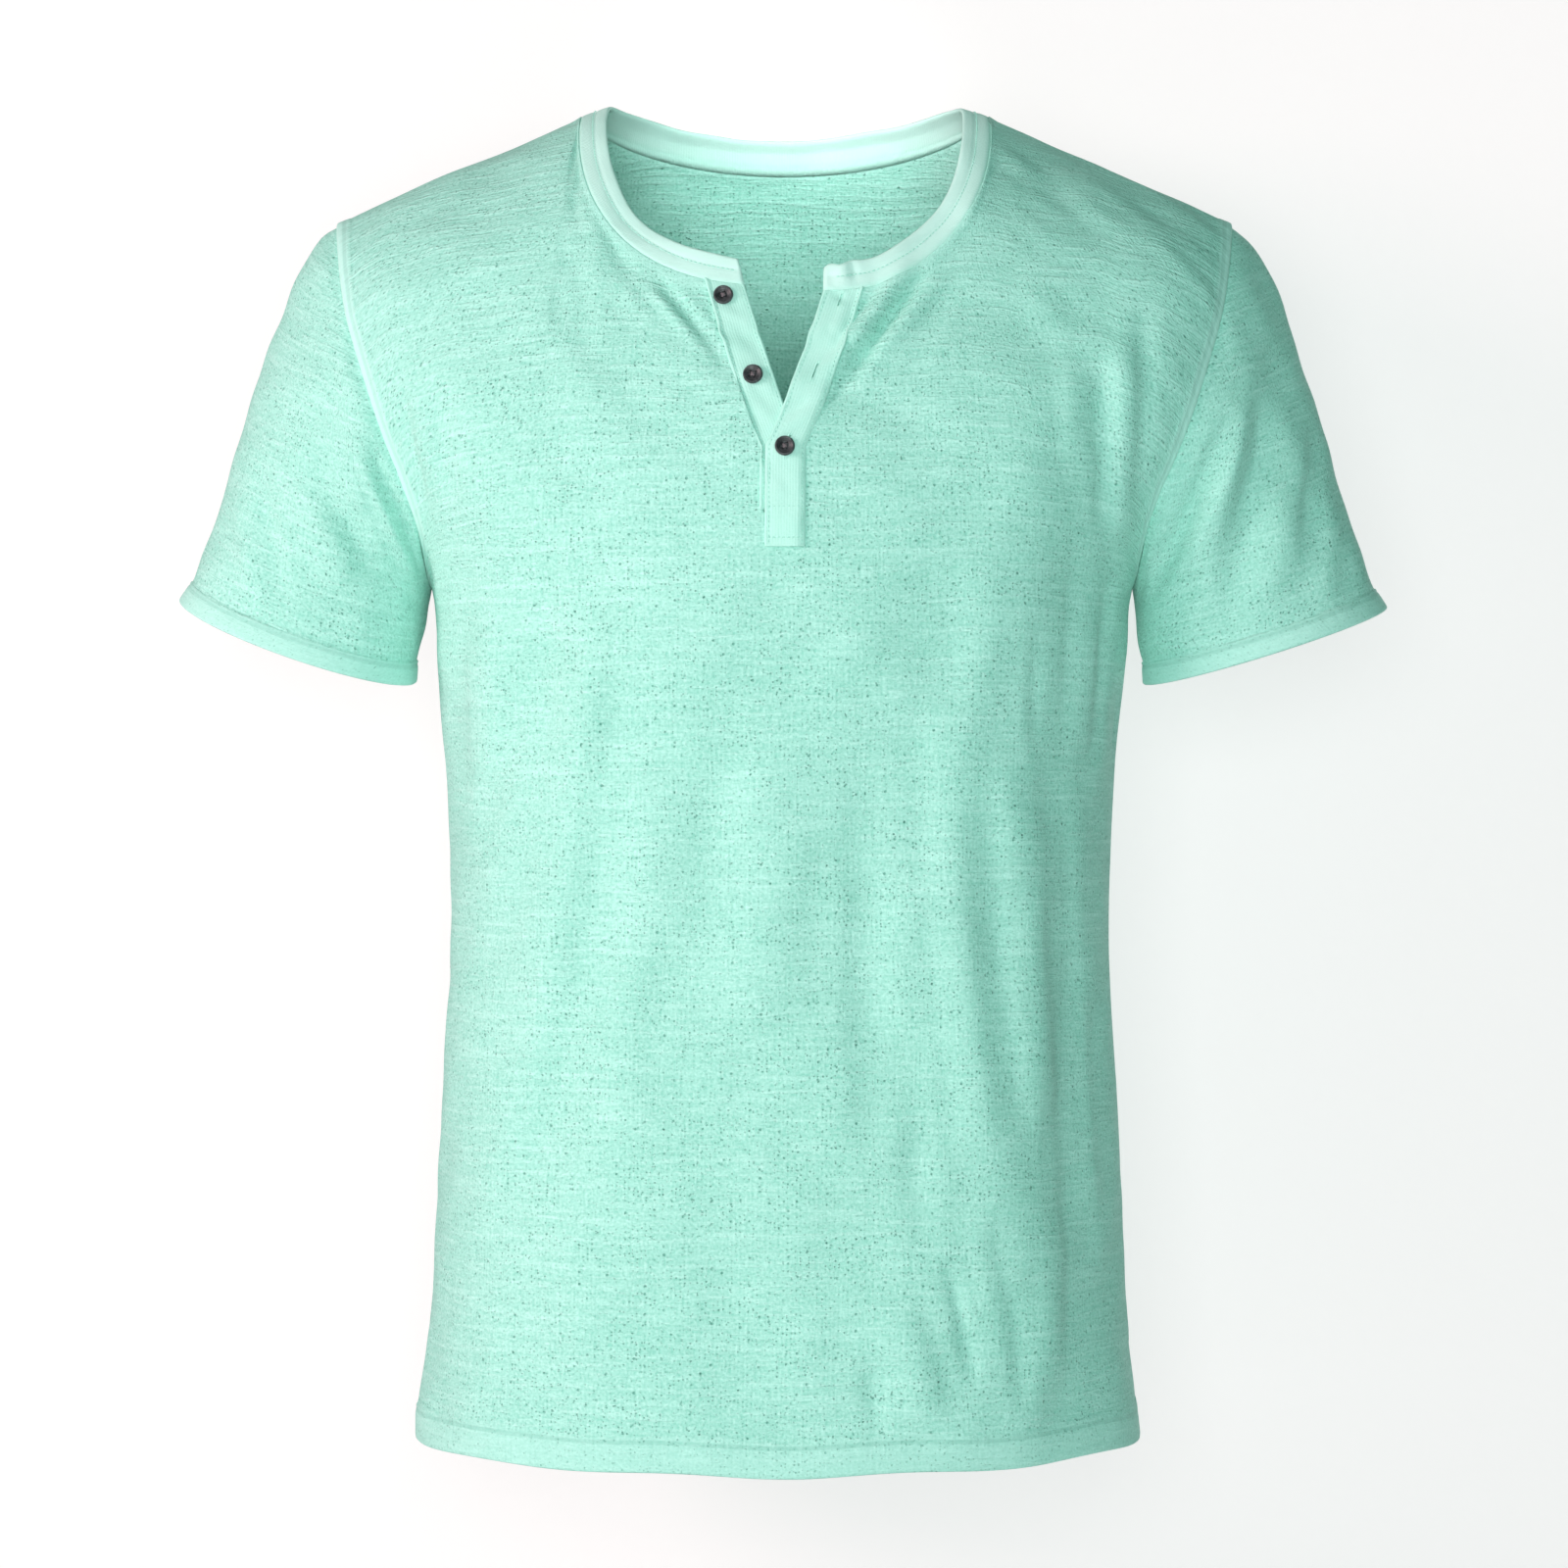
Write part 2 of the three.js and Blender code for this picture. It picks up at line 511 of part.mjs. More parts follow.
// One lengthwise line of the sleeve on the +X side, from the armhole point to the cuff.
function sleeveLine(cuff, armhole, turn, face) {
  const lift = (1 + Math.cos(turn)) / 2;
  const start = armhole.clone();
  start.x += mix(SEAM_GAP * 0.9, UNDERARM_CLEARANCE, lift);
  start.z -= mix(SEAM_GAP * 0.4, 0, lift);
  const end = cuffPoint(cuff, turn, face, CUFF_FOLD);
  const leave = runVector(turn, face, "leave");
  const arrive = runVector(turn, face, "arrive");
  const line = [];
  for (let k = 0; k <= SLEEVE_ROWS; k += 1) {
    const u = k / SLEEVE_ROWS;
    const p = new THREE.Vector3();
    p.addScaledVector(start, 2 * u ** 3 - 3 * u ** 2 + 1);
    p.addScaledVector(leave, u ** 3 - 2 * u ** 2 + u);
    p.addScaledVector(end, 3 * u ** 2 - 2 * u ** 3);
    p.addScaledVector(arrive, u ** 3 - u ** 2);
    line.push(p);
  }
  line.push(cuffPoint(cuff, turn, face, CUFF_FOLD - 1));
  line.push(cuffPoint(cuff, turn, face, 0));
  return line;
}

// sign is 1 for the wearer's left sleeve. The right one's grid runs the other way round, so that it faces out too.
function sleeveGrid(sign) {
  const armRow = LOWER.length - 1;
  const cuff = sign > 0 ? CUFFS.left : CUFFS.right;
  const frontEdge = sign > 0 ? front[front.length - 1] : front[0];
  const backEdge = sign > 0 ? back[0] : back[back.length - 1];
  const shiftless = (p) => new THREE.Vector3(p.x * sign, p.y, p.z);
  const lines = [];
  for (let k = 0; k <= UPPER_ROWS; k += 1) {
    const middle = k === 0 || k === UPPER_ROWS;
    const p = shiftless(frontEdge[armRow + k]);
    if (middle) p.add(shiftless(backEdge[armRow + k])).multiplyScalar(0.5);
    lines.push(sleeveLine(cuff, p, (Math.PI * k) / UPPER_ROWS, -1));
  }
  for (let k = UPPER_ROWS - 1; k >= 1; k -= 1) {
    lines.push(sleeveLine(cuff, shiftless(backEdge[armRow + k]), (Math.PI * k) / UPPER_ROWS, 1));
  }
  const grid = lines.map((line) => line.map((p) => new THREE.Vector3(p.x * sign, p.y, p.z)));
  const facingOut = sign > 0 ? grid.reverse() : grid;
  const fade = (j) => ease(j / 2) * ease((SLEEVE_ROWS + 2 - j) / 4);
  const inFront = fold(facingOut, SLEEVE_FOLDS, -1, keepAll, true, fade);
  return fold(inFront, SLEEVE_BACK_FOLDS, 1, keepAll, true, fade);
}
const cuffInside = (i, j) => (j > SLEEVE_ROWS ? FOLDED - CLOTH / 2 : CLOTH / 2);

// Neckband: it stands on the neckline seam and leans in over the neck.
function bandSeam() {
  const top = front[0].length - 1;
  const first = SLIT_FROM;
  const second = SLIT_FROM + SLIT_CELLS;
  const leafTop = (x) => bodyPoint(x, necklineZ(x), -1);
  const seam = [];
  const slit = slitHalf(NECK_POINT_Z - FRONT_NECK_DROP);
  seam.push(leafTop(-BAND_END_HALF), leafTop(-mix(BAND_END_HALF, slit, 0.5)));
  for (let i = first; i >= first - NECK_CELLS + 1; i -= 1) seam.push(front[i][top].clone());
  const neckRight = new THREE.Vector3().addVectors(
    front[first - NECK_CELLS][top],
    back[back.length - 1 - SHOULDER_CELLS][top],
  );
  seam.push(neckRight.multiplyScalar(0.5));
  for (let i = back.length - 2 - SHOULDER_CELLS; i > SHOULDER_CELLS; i -= 1) seam.push(back[i][top].clone());
  const neckLeft = new THREE.Vector3().addVectors(front[second + NECK_CELLS][top], back[SHOULDER_CELLS][top]);
  seam.push(neckLeft.multiplyScalar(0.5));
  for (let i = second + NECK_CELLS - 1; i >= second; i -= 1) seam.push(front[i][top].clone());
  seam.push(leafTop(mix(BAND_END_HALF, slit, 0.5)), leafTop(BAND_END_HALF));
  return seam;
}

// A value of the band's at a seam point: from front or back, through side at the neck point.
function bandValue(table, p, power) {
  const centre = section(NECK_POINT_Z, "shift");
  const sideways = THREE.MathUtils.clamp(Math.abs(p.x - centre) / NECK_HALF, 0, 1);
  return mix(p.y < SEAM_NECK_Y ? table.front : table.back, table.side, sideways ** power);
}

function bandGrid() {
  const seam = bandSeam();
  const last = seam.length - 1;
  return seam.map((p, i) => {
    const before = seam[Math.max(i - 1, 0)];
    const after = seam[Math.min(i + 1, last)];
    const tangent = new THREE.Vector3().subVectors(after, before).normalize();
    const inward = new THREE.Vector3(-(p.x - section(NECK_POINT_Z, "shift")), -(p.y + 10), 0);
    inward.addScaledVector(tangent, -inward.dot(tangent)).setZ(0).normalize();
    const lean = THREE.MathUtils.degToRad(bandValue(BAND_LEAN, p, 3));
    const up = inward.multiplyScalar(Math.cos(lean)).setZ(Math.sin(lean));
    up.addScaledVector(tangent, -up.dot(tangent)).normalize();
    const column = [];
    for (let k = 0; k <= BAND_ROWS; k += 1) {
      const rise = mix(bandValue(BAND_GAP, p, 1), BAND_WIDE, k / BAND_ROWS);
      const point = p.clone().addScaledVector(up, rise);
      if (i === 0) point.x -= (BAND_END_SLANT * k) / BAND_ROWS;
      column.push(point);
    }
    return column;
  });
}

// Heights of a leaf's rows: a few below the slit's end where the leaf runs on, then the front's own rows and their middles.
function leafRows(end, sign) {
  const column = front[sign > 0 ? SLIT_FROM + SLIT_CELLS : SLIT_FROM];
  const edge = column.slice(slitBottomRow).map((p) => p.z);
  const rows = end < edge[0] ? [end, mix(end, edge[0], 1 / 3), mix(end, edge[0], 2 / 3), edge[0]] : [end];
  for (let j = 1; j < edge.length; j += 1) rows.push(mix(edge[j - 1], edge[j], 0.5), edge[j]);
  rows[rows.length - 1] -= LAYER_GAP;
  return rows;
}

// A placket leaf: a strip that follows the front's surface between two edges, moved out by its layer's height.
function leafGrid(edgeAt, end, sign, riseAt) {
  const rows = leafRows(end, sign);
  const top = rows[rows.length - 1];
  const grid = [];
  for (let i = 0; i <= LEAF_CELLS; i += 1) {
    const across = i / LEAF_CELLS;
    const reach = necklineZ(edgeAt(top, across)) - LAYER_GAP - top;
    grid.push(
      rows.map((row) => {
        const z = row + reach * THREE.MathUtils.clamp((row - CROSSING_Z) / (top - CROSSING_Z), 0, 1) ** 2;
        return onFront(edgeAt(row, across), z, riseAt(row));
      }),
    );
  }
  return grid;
}

// A point of the folded front, moved out along its normal.
function onFront(x, z, rise) {
  const step = 1;
  const surface = (a, b) => bodyPoint(a, b, -1);
  const dx = new THREE.Vector3().subVectors(surface(x + step, z), surface(x - step, z));
  const dz = new THREE.Vector3().subVectors(surface(x, z + step), surface(x, z - step));
  const out = dx.cross(dz).normalize();
  const p = surface(x, z);
  return p.addScaledVector(out, rise + foldHeight(FRONT_FOLDS, p.x, p.z));
}


// The slit's edge as the front's own grid has it, on the side of the wearer's left (1) or right (-1).
function slitEdge(z, sign) {
  const column = front[sign > 0 ? SLIT_FROM + SLIT_CELLS : SLIT_FROM];
  let j = slitBottomRow;
  while (j < column.length - 2 && z > column[j + 1].z) j += 1;
  const t = (z - column[j].z) / (column[j + 1].z - column[j].z);
  return mix(column[j].x, column[j + 1].x, Math.max(t, 0)) - section(z, "shift");
}

// The under leaf fills the slit down to the slit's end. The over leaf climbs on to it above the crossing.
const UNDER_END_Z = front[SLIT_FROM][slitBottomRow].z + 2 * LAYER_GAP;
const underEdge = (z, across) => slitEdge(z, -1) + LEAF_GAP + across * (LEAF_WIDE - LEAF_GAP);
const overEdge = (z, across) => slitEdge(z, 1) - LEAF_GAP - (1 - across) * (LEAF_WIDE - 1.2);
const LEAF_STEP = (LEAF_WALL + LAYER_GAP) * 1.14;
const overRise = (z) => LEAF_STEP * ease((CROSSING_Z + 24 - z) / 23);
const underRise = () => 0;

const under = leafGrid(underEdge, UNDER_END_Z, -1, underRise);
const over = leafGrid(overEdge, LEAF_END_Z, 1, overRise);

// A four-hole button with a raised rim, lying along the cloth that carries it.
function buttonGeometry(wasm) {
  const r = BUTTON_RADIUS;
  const t = BUTTON_THICK;
  const profile = [
    [0, 0],
    [r * 0.8, 0],
    [r, t * 0.4],
    [r * 0.98, t * 0.85],
    [r * 0.88, t],
    [r * 0.72, t * 0.92],
    [r * 0.62, t * 0.62],
    [0, t * 0.58],
  ].map(([x, y]) => new THREE.Vector2(x, y));
  const disc = new THREE.LatheGeometry(profile, BUTTON_SIDES).rotateX(Math.PI / 2);
  let solid = solidOf(wasm, disc);
  for (const [sx, sy] of [[1, 1], [1, -1], [-1, 1], [-1, -1]]) {
    const hole = new THREE.CylinderGeometry(r * 0.14, r * 0.14, t * 3, 6).rotateX(Math.PI / 2);
    hole.translate(sx * r * 0.24, sy * r * 0.24, 0);
    solid = solid.subtract(solidOf(wasm, hole));
  }
  return geometryOf(solid);
}

// A closed three.js geometry as a solid, with its shared corners joined.
function solidOf(wasm, geometry) {
  const source = geometry.index ? geometry.toNonIndexed() : geometry;
  const array = source.getAttribute("position").array;
  const seen = new Map();
  const vertices = [];
  const corners = [];
  for (let i = 0; i < array.length; i += 3) {
    const key = [0, 1, 2].map((k) => Math.round(array[i + k] * 1e4)).join();
    if (!seen.has(key)) {
      seen.set(key, seen.size);
      vertices.push(array[i], array[i + 1], array[i + 2]);
    }
    corners.push(seen.get(key));
  }
  const triangles = [];
  for (let i = 0; i < corners.length; i += 3) {
    const [a, b, c] = corners.slice(i, i + 3);
    if (a !== b && b !== c && c !== a) triangles.push(a, b, c);
  }
  const mesh = new wasm.Mesh({
    numProp: 3,
    vertProperties: new Float32Array(vertices),
    triVerts: new Uint32Array(triangles),
  });
  return new wasm.Manifold(mesh);
}

function geometryOf(solid) {
  const mesh = solid.getMesh();
  const geometry = new THREE.BufferGeometry();
  geometry.setAttribute("position", new THREE.BufferAttribute(new Float32Array(mesh.vertProperties), 3));
  geometry.setIndex(new THREE.BufferAttribute(new Uint32Array(mesh.triVerts), 1));
  geometry.computeVertexNormals();
  return geometry;
}

const cloth = new THREE.MeshStandardMaterial({ color: COLOURS.cloth, roughness: 0.9, metalness: 0 });
const rib = new THREE.MeshStandardMaterial({ color: COLOURS.rib, roughness: 0.88, metalness: 0 });
const horn = new THREE.MeshStandardMaterial({ color: COLOURS.button, roughness: 0.35, metalness: 0 });

const shirt = new THREE.Group();
function add(name, geometry, material) {
  const mesh = new THREE.Mesh(geometry, material);
  mesh.name = name;
  shirt.add(mesh);
  return mesh;
}

add("front", wall(front, half, hemInside, keptFront), cloth);
add("back", wall(back, half, hemInside), cloth);
add("sleeve_left", wall(sleeveGrid(1), half, cuffInside, keepAll, true), cloth);
add("sleeve_right", wall(sleeveGrid(-1), half, cuffInside, keepAll, true), cloth);
add("neckband", wall(bandGrid(), () => BAND_WALL / 2, () => BAND_WALL / 2), rib);
add("placket_under", wall(under, () => LEAF_WALL / 2, () => LEAF_WALL / 2), rib);
add("placket_over", wall(over, () => LEAF_WALL / 2, () => LEAF_WALL / 2), rib);

const wasm = await Module();
wasm.setup();
const buttonShape = buttonGeometry(wasm);
for (const b of BUTTONS) {
  const rise = (b.layer === "over" ? overRise(b.z) : underRise(b.z)) + LEAF_WALL / 2 + LAYER_GAP;
  const foot = onFront(b.x, b.z, rise);
  const out = onFront(b.x, b.z, rise + 1).sub(foot).normalize();
  const mesh = add(b.name, buttonShape, horn);
  mesh.position.copy(foot);
  mesh.quaternion.setFromUnitVectors(new THREE.Vector3(0, 0, 1), out);
}

export default shirt;
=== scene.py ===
"""A short-sleeved henley shirt in light slub jersey, filled out as if worn, with its placket open at the neck.

The front faces -Y, the wearer's left is +X, +Z is up, and the origin lies between the two neck points.
Sizes are millimetres, and meshes are made in metres. Every cloth piece is a thin closed shell round a middle
surface, which is a grid of points worked out from the sizes below.
"""

import logging
import math
from dataclasses import dataclass, field
from enum import Enum
from typing import Any, Callable, Iterable

import bpy
import numpy as np
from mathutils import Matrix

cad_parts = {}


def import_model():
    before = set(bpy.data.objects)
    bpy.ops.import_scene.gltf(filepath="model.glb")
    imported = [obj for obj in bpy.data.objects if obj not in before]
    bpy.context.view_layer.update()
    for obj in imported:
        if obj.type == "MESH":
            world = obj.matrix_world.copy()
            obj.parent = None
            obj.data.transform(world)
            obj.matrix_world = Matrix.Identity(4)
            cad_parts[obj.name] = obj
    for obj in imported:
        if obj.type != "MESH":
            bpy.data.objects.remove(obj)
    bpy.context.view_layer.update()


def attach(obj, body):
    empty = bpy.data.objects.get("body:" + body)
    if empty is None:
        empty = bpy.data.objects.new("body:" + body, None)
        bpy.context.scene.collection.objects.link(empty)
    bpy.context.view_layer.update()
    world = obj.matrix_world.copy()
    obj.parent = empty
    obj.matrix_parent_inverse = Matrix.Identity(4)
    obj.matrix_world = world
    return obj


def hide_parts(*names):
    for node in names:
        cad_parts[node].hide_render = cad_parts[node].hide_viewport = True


LOG = logging.getLogger("henley")
Array = np.ndarray
MM = 0.001
BODY = "root"
FAR = 99.0


class Face(Enum):
    """Which way a panel faces: its sign along Y."""

    FRONT = -1
    BACK = 1


class Side(Enum):
    """The wearer's side: its sign along X."""

    RIGHT = -1
    LEFT = 1


class Slot(Enum):
    """Material slots of the record."""

    JERSEY = "jersey"
    RIB = "rib"
    BUTTON = "button"


def mix(a: Any, b: Any, t: Any) -> Any:
    """The value a share t of the way from a to b."""
    return a + (b - a) * t


def ease(t: Any) -> Any:
    """A smooth step from 0 to 1 while t goes from 0 to 1."""
    c = np.clip(t, 0.0, 1.0)
    return c * c * (3.0 - 2.0 * c)


def unit(v: Array) -> Array:
    """The vectors at unit length."""
    return v / np.maximum(np.linalg.norm(v, axis=-1, keepdims=True), 1e-12)


def bell(off: Any, wide: float) -> Any:
    """A bell curve: 1 at zero and near 0 beyond twice the width."""
    return np.exp(-((off / wide) ** 2))


def run_along(path: Array) -> Array:
    """The distance of each point from the first, along the path."""
    return np.concatenate([[0], np.cumsum(np.linalg.norm(np.diff(path, axis=0), axis=1))])


def link(name: str, data: Any) -> bpy.types.Object:
    """A new object in the scene that shows the data."""
    item = bpy.data.objects.new(name, data)
    bpy.context.scene.collection.objects.link(item)
    return item


def make_mesh(name: str, points: Array, polygons: list[list[int]], smooth: bool = True) -> bpy.types.Object:
    """Makes a mesh object.

    Args:
        name: the object's name.
        points: vertex positions in millimetres.
        polygons: the vertex numbers of each face.
        smooth: whether it is shaded smooth.
    Returns:
        The object.
    """
    mesh = bpy.data.meshes.new(name)
    mesh.from_pydata((points * MM).tolist(), [], polygons)
    mesh.polygons.foreach_set("use_smooth", np.full(len(mesh.polygons), smooth))
    mesh.update()
    return link(name, mesh)


@dataclass(frozen=True)
class Table:
    """A smooth curve through a few values.

    Attributes:
        keys: places where the value is known, rising.
        values: the value at each place.
    """

    keys: tuple[float, ...]
    values: tuple[float, ...]

    def __call__(self, at: Any) -> Array:
        """Reads the curve.

        Args:
            at: places to read it at.
        Returns:
            The values there.
        """
        k, v = np.array(self.keys, float), np.array(self.values, float)
        t = np.clip(np.asarray(at, float), k[0], k[-1])
        i = np.clip(np.searchsorted(k, t, side="left") - 1, 0, len(k) - 2)
        slopes = np.empty_like(v)
        slopes[1:-1] = (v[2:] - v[:-2]) / (k[2:] - k[:-2])
        slopes[0], slopes[-1] = (v[1] - v[0]) / (k[1] - k[0]), (v[-1] - v[-2]) / (k[-1] - k[-2])
        span = k[i + 1] - k[i]
        u = (t - k[i]) / span
        return (
            v[i] * (2 * u**3 - 3 * u**2 + 1)
            + slopes[i] * span * (u**3 - 2 * u**2 + u)
            + v[i + 1] * (3 * u**2 - 2 * u**3)
            + slopes[i + 1] * span * (u**3 - u**2)
        )


@dataclass(frozen=True)
class Fold:
    """A soft ridge, or a trough where high is negative, along a line seen from the front or back.

    Attributes:
        x0, z0, x1, z1: the line's ends.
        wide: half its width.
        high: its height off the cloth.
        bend: how far the middle lies off the straight line.
        lean: how much wider it is on its positive side than on the other, from -1 to 1.
    """

    x0: float
    z0: float
    x1: float
    z1: float
    wide: float
    high: float
    bend: float = 0.0
    lean: float = 0.0

    def height(self, x: Array, z: Array) -> Array:
        """How high the fold stands at places seen from the front or back.

        Args:
            x, z: the places.
        Returns:
            The heights.
        """
        dx, dz = self.x1 - self.x0, self.z1 - self.z0
        long = math.hypot(dx, dz)
        along = ((x - self.x0) * dx + (z - self.z0) * dz) / long**2
        aside = ((z - self.z0) * dx - (x - self.x0) * dz) / long - self.bend * 4 * along * (1 - along)
        off = aside / (self.wide * (1 + self.lean * np.sign(aside)))
        inside = (np.abs(off) < 1) & (along > 0) & (along < 1)
        shape = (1 - np.clip(off, -1, 1) ** 2) ** 2 * np.sin(np.pi * np.clip(along, 0, 1)) ** 0.8
        return np.where(inside, self.high * shape, 0.0)


@dataclass(frozen=True)
class Ripple:
    """Uneven ground made of long waves, so that no stretch of cloth is dead smooth.

    Attributes:
        seed: picks the waves.
        short, long: the shortest and the longest wave.
        high: the usual height.
        count: how many waves are added up.
    """

    seed: int
    short: float
    long: float
    high: float
    count: int = 14

    def height(self, u: Array, v: Array) -> Array:
        """The height at places of the flat cloth.

        Args:
            u, v: the places.
        Returns:
            The heights.
        """
        rng = np.random.default_rng(self.seed)
        total = np.zeros_like(u)
        for _ in range(self.count):
            angle, phase = rng.uniform(0, math.pi), rng.uniform(0, 2 * math.pi)
            length = math.exp(rng.uniform(math.log(self.short), math.log(self.long)))
            total += np.sin(2 * math.pi * (u * math.cos(angle) + v * math.sin(angle)) / length + phase)
        return self.high * total * math.sqrt(2 / self.count)


def height_of(folds: Iterable[Fold], x: Array, z: Array) -> Array:
    """The folds' heights added up.

    Args:
        folds: the folds.
        x, z: places seen from the front or back.
    Returns:
        The heights.
    """
    return sum((f.height(x, z) for f in folds), np.zeros_like(x))


def folds(*rows: tuple[float, ...]) -> tuple[Fold, ...]:
    """A table of folds; its columns are x0, z0, x1, z1, wide, high, bend and lean."""
    return tuple(Fold(*row) for row in rows)


FRONT_FOLDS = folds(
    # Pulls from the neckline to the placket
    (-77, -91, -31, -143, 7, 2.3, 0, 0.2), (-62, -96, -26, -147, 4.6, -2.7, 0, -0.2),
    (-50, -104, -25, -136, 3.5, 1.4), (-94, -98, -58, -150, 9, -1.0, 3), (66, -88, 19, -152, 6, 3.8),
    (73, -92, 25, -160, 6, -4.4), (50, -101, 32, -128, 5, -1.6), (82, -96, 38, -154, 7, 1.8, -2),
    (92, -96, 62, -152, 9, -1.0, -3),
    # By the armholes
    (200, -62, 188, -196, 44, 4.2, 0, -0.2), (-204, -62, -190, -190, 44, 3.0, 0, 0.2),
    (-182, -150, -174, -212, 8, 2.8), (-190, -150, -180, -218, 5, -1.8), (-168, -158, -163, -226, 9, -1.4),
    (158, -130, 163, -232, 9, -3.2), (171, -104, 171, -240, 10, 2.0), (182, -104, 179, -222, 8, -1.7),
    (142, -128, 146, -200, 9, 1.4),
    # Below the armpits and down the sides
    (134, -130, 110, -420, 38, 3.6, -6, -0.3), (116, -300, 112, -705, 54, 6.6, 0, -0.38),
    (165, -225, 161, -700, 34, -5.0, 3), (121, -400, 124, -700, 15, 1.4, 0, -0.3),
    (152, -225, 146, -345, 18, -2.4, 0, 0.3), (125, -268, 124, -338, 6, -1.6), (157, -225, 151, -350, 13, 3.4),
    (168, -238, 160, -345, 6, -2.2), (98, -235, 97, -345, 16, 1.4), (82, -290, 114, -600, 20, 3.4, -9, 0.15),
    (98, -335, 122, -560, 13, -2.8, -5, -0.2), (130, -305, 149, -605, 14, -2.4, 0, 0.2),
    (112, -350, 132, -540, 10, 1.5, 2), (148, -330, 162, -500, 10, 1.2), (162, -440, 172, -610, 8, -2.4),
    (80, -585, 95, -650, 5.5, -2.8), (92, -560, 108, -640, 9, 1.8), (56, -605, 77, -672, 15, 2.8, 0, -0.2),
    (43, -630, 48, -680, 8, -2.0), (134, -560, 131, -655, 12, 3.0), (112, -600, 118, -668, 7, -1.8),
    (-145, -235, -147, -350, 16, 3.2), (-118, -240, -119, -345, 13, -2.8), (-92, -262, -97, -345, 14, 2.2),
    (-166, -262, -163, -400, 9, -1.6), (-98, -290, -148, -570, 20, 3.0, 9, -0.15),
    (-80, -300, -127, -560, 19, -2.2, 8), (-122, -285, -157, -390, 12, -2.2), (-60, -330, -92, -560, 16, 1.8, 5),
    (-28, -305, -39, -470, 19, -2.4), (2, -330, -6, -480, 22, 2.0), (40, -330, 44, -540, 18, -2.8, 0, 0.1),
    (62, -470, 70, -600, 12, -1.8), (-110, -560, -96, -668, 20, 1.6), (-30, -540, -24, -672, 22, -1.5),
    (8, -560, 14, -676, 20, 1.4),
    # Slack across the waist and chest
    (-150, -440, -60, -462, 9, 0.9, 3), (-70, -520, 30, -508, 10, -0.8, 4), (-150, -590, -70, -612, 10, 0.9, -3),
    (20, -236, 104, -214, 9, -0.7, 5), (-120, -196, -40, -212, 10, -0.7, -4),
)
BACK_FOLDS = folds(
    (-178, -150, -168, -345, 16, 4.0), (178, -140, 169, -330, 16, 4.2), (-150, -170, -138, -390, 16, -3.6, 4, 0.2),
    (149, -190, 136, -410, 16, -3.6, -4, -0.2), (-164, -150, -158, -236, 6, -2.2), (165, -146, 160, -228, 6.5, -2.4),
    (-96, -280, -86, -640, 22, 4.2, 7), (94, -260, 106, -620, 23, 4.2, -7), (-48, -330, -34, -610, 20, -3.4),
    (46, -350, 52, -650, 20, -3.4), (4, -320, 8, -600, 22, 3.2), (-122, -402, 96, -446, 15, -2.4, -8),
    (-132, -380, -20, -392, 10, 1.8, -5), (30, -420, 138, -398, 10, 1.6, 6), (-140, -430, -128, -640, 12, -2.2),
    (142, -440, 130, -620, 11, -2.0), (-70, -560, -62, -676, 13, 2.0), (78, -570, 74, -676, 12, 2.0),
    (-60, -60, -96, -150, 14, -1.2, 4), (64, -58, 102, -146, 14, -1.2, -4), (-14, -70, -10, -190, 20, -1.0),
)
OVER_CREASES = folds(
    (14, -160, -6, -172, 4.5, -1.0, 1), (16, -166, -4, -180, 5, 0.8), (24, -103, 33, -112, 3.5, -0.8),
    (34, -104, 22, -136, 4, 0.7, 1), (20, -124, 30, -130, 4, -0.5), (-6, -196, 7, -206, 5, -0.5),
)
UNDER_CREASES = folds(
    (-38, -122, -24, -130, 4, -0.6), (-24, -134, -16, -160, 4, 0.6, 1), (-34, -112, -20, -120, 4, 0.5),
)
SLEEVE_FOLDS = folds(
    # The wearer's left
    (228, -162, 182, -262, 10, -5.0, 2, 0.1), (236, -158, 200, -250, 12, 3.0, 3, 0.2),
    (256, -118, 224, -292, 14, -4.0, -3, 0.1), (240, -120, 216, -262, 16, 2.4, -2), (264, -176, 249, -262, 10, 1.8),
    (278, -150, 268, -262, 9, -2.4, -2), (284, -190, 281, -262, 7, 1.2), (214, -118, 205, -170, 5, -1.2),
    (212, -222, 203, -268, 8, -1.2),
    # The wearer's right
    (-210, -182, -181, -246, 6.5, -4.0), (-217, -174, -186, -248, 7, 2.6), (-238, -190, -205, -242, 12, -2.8),
    (-249, -198, -212, -260, 14, 3.0), (-268, -185, -254, -262, 8.5, -2.6), (-280, -198, -268, -262, 8, 2.0),
    (-228, -120, -214, -166, 8, 1.2),
)
SLEEVE_BACK_FOLDS = folds(
    (236, -132, 190, -236, 9, -4.2, 7), (218, -140, 188, -214, 11, 3.4), (250, -150, 212, -256, 12, 3.2, 4),
    (262, -160, 236, -256, 9, -3.2), (-232, -136, -191, -240, 9, -4.0, -6), (-246, -172, -214, -256, 14, 3.2),
    (-266, -166, -246, -256, 9, -2.8), (-214, -146, -188, -212, 9, 2.4),
)


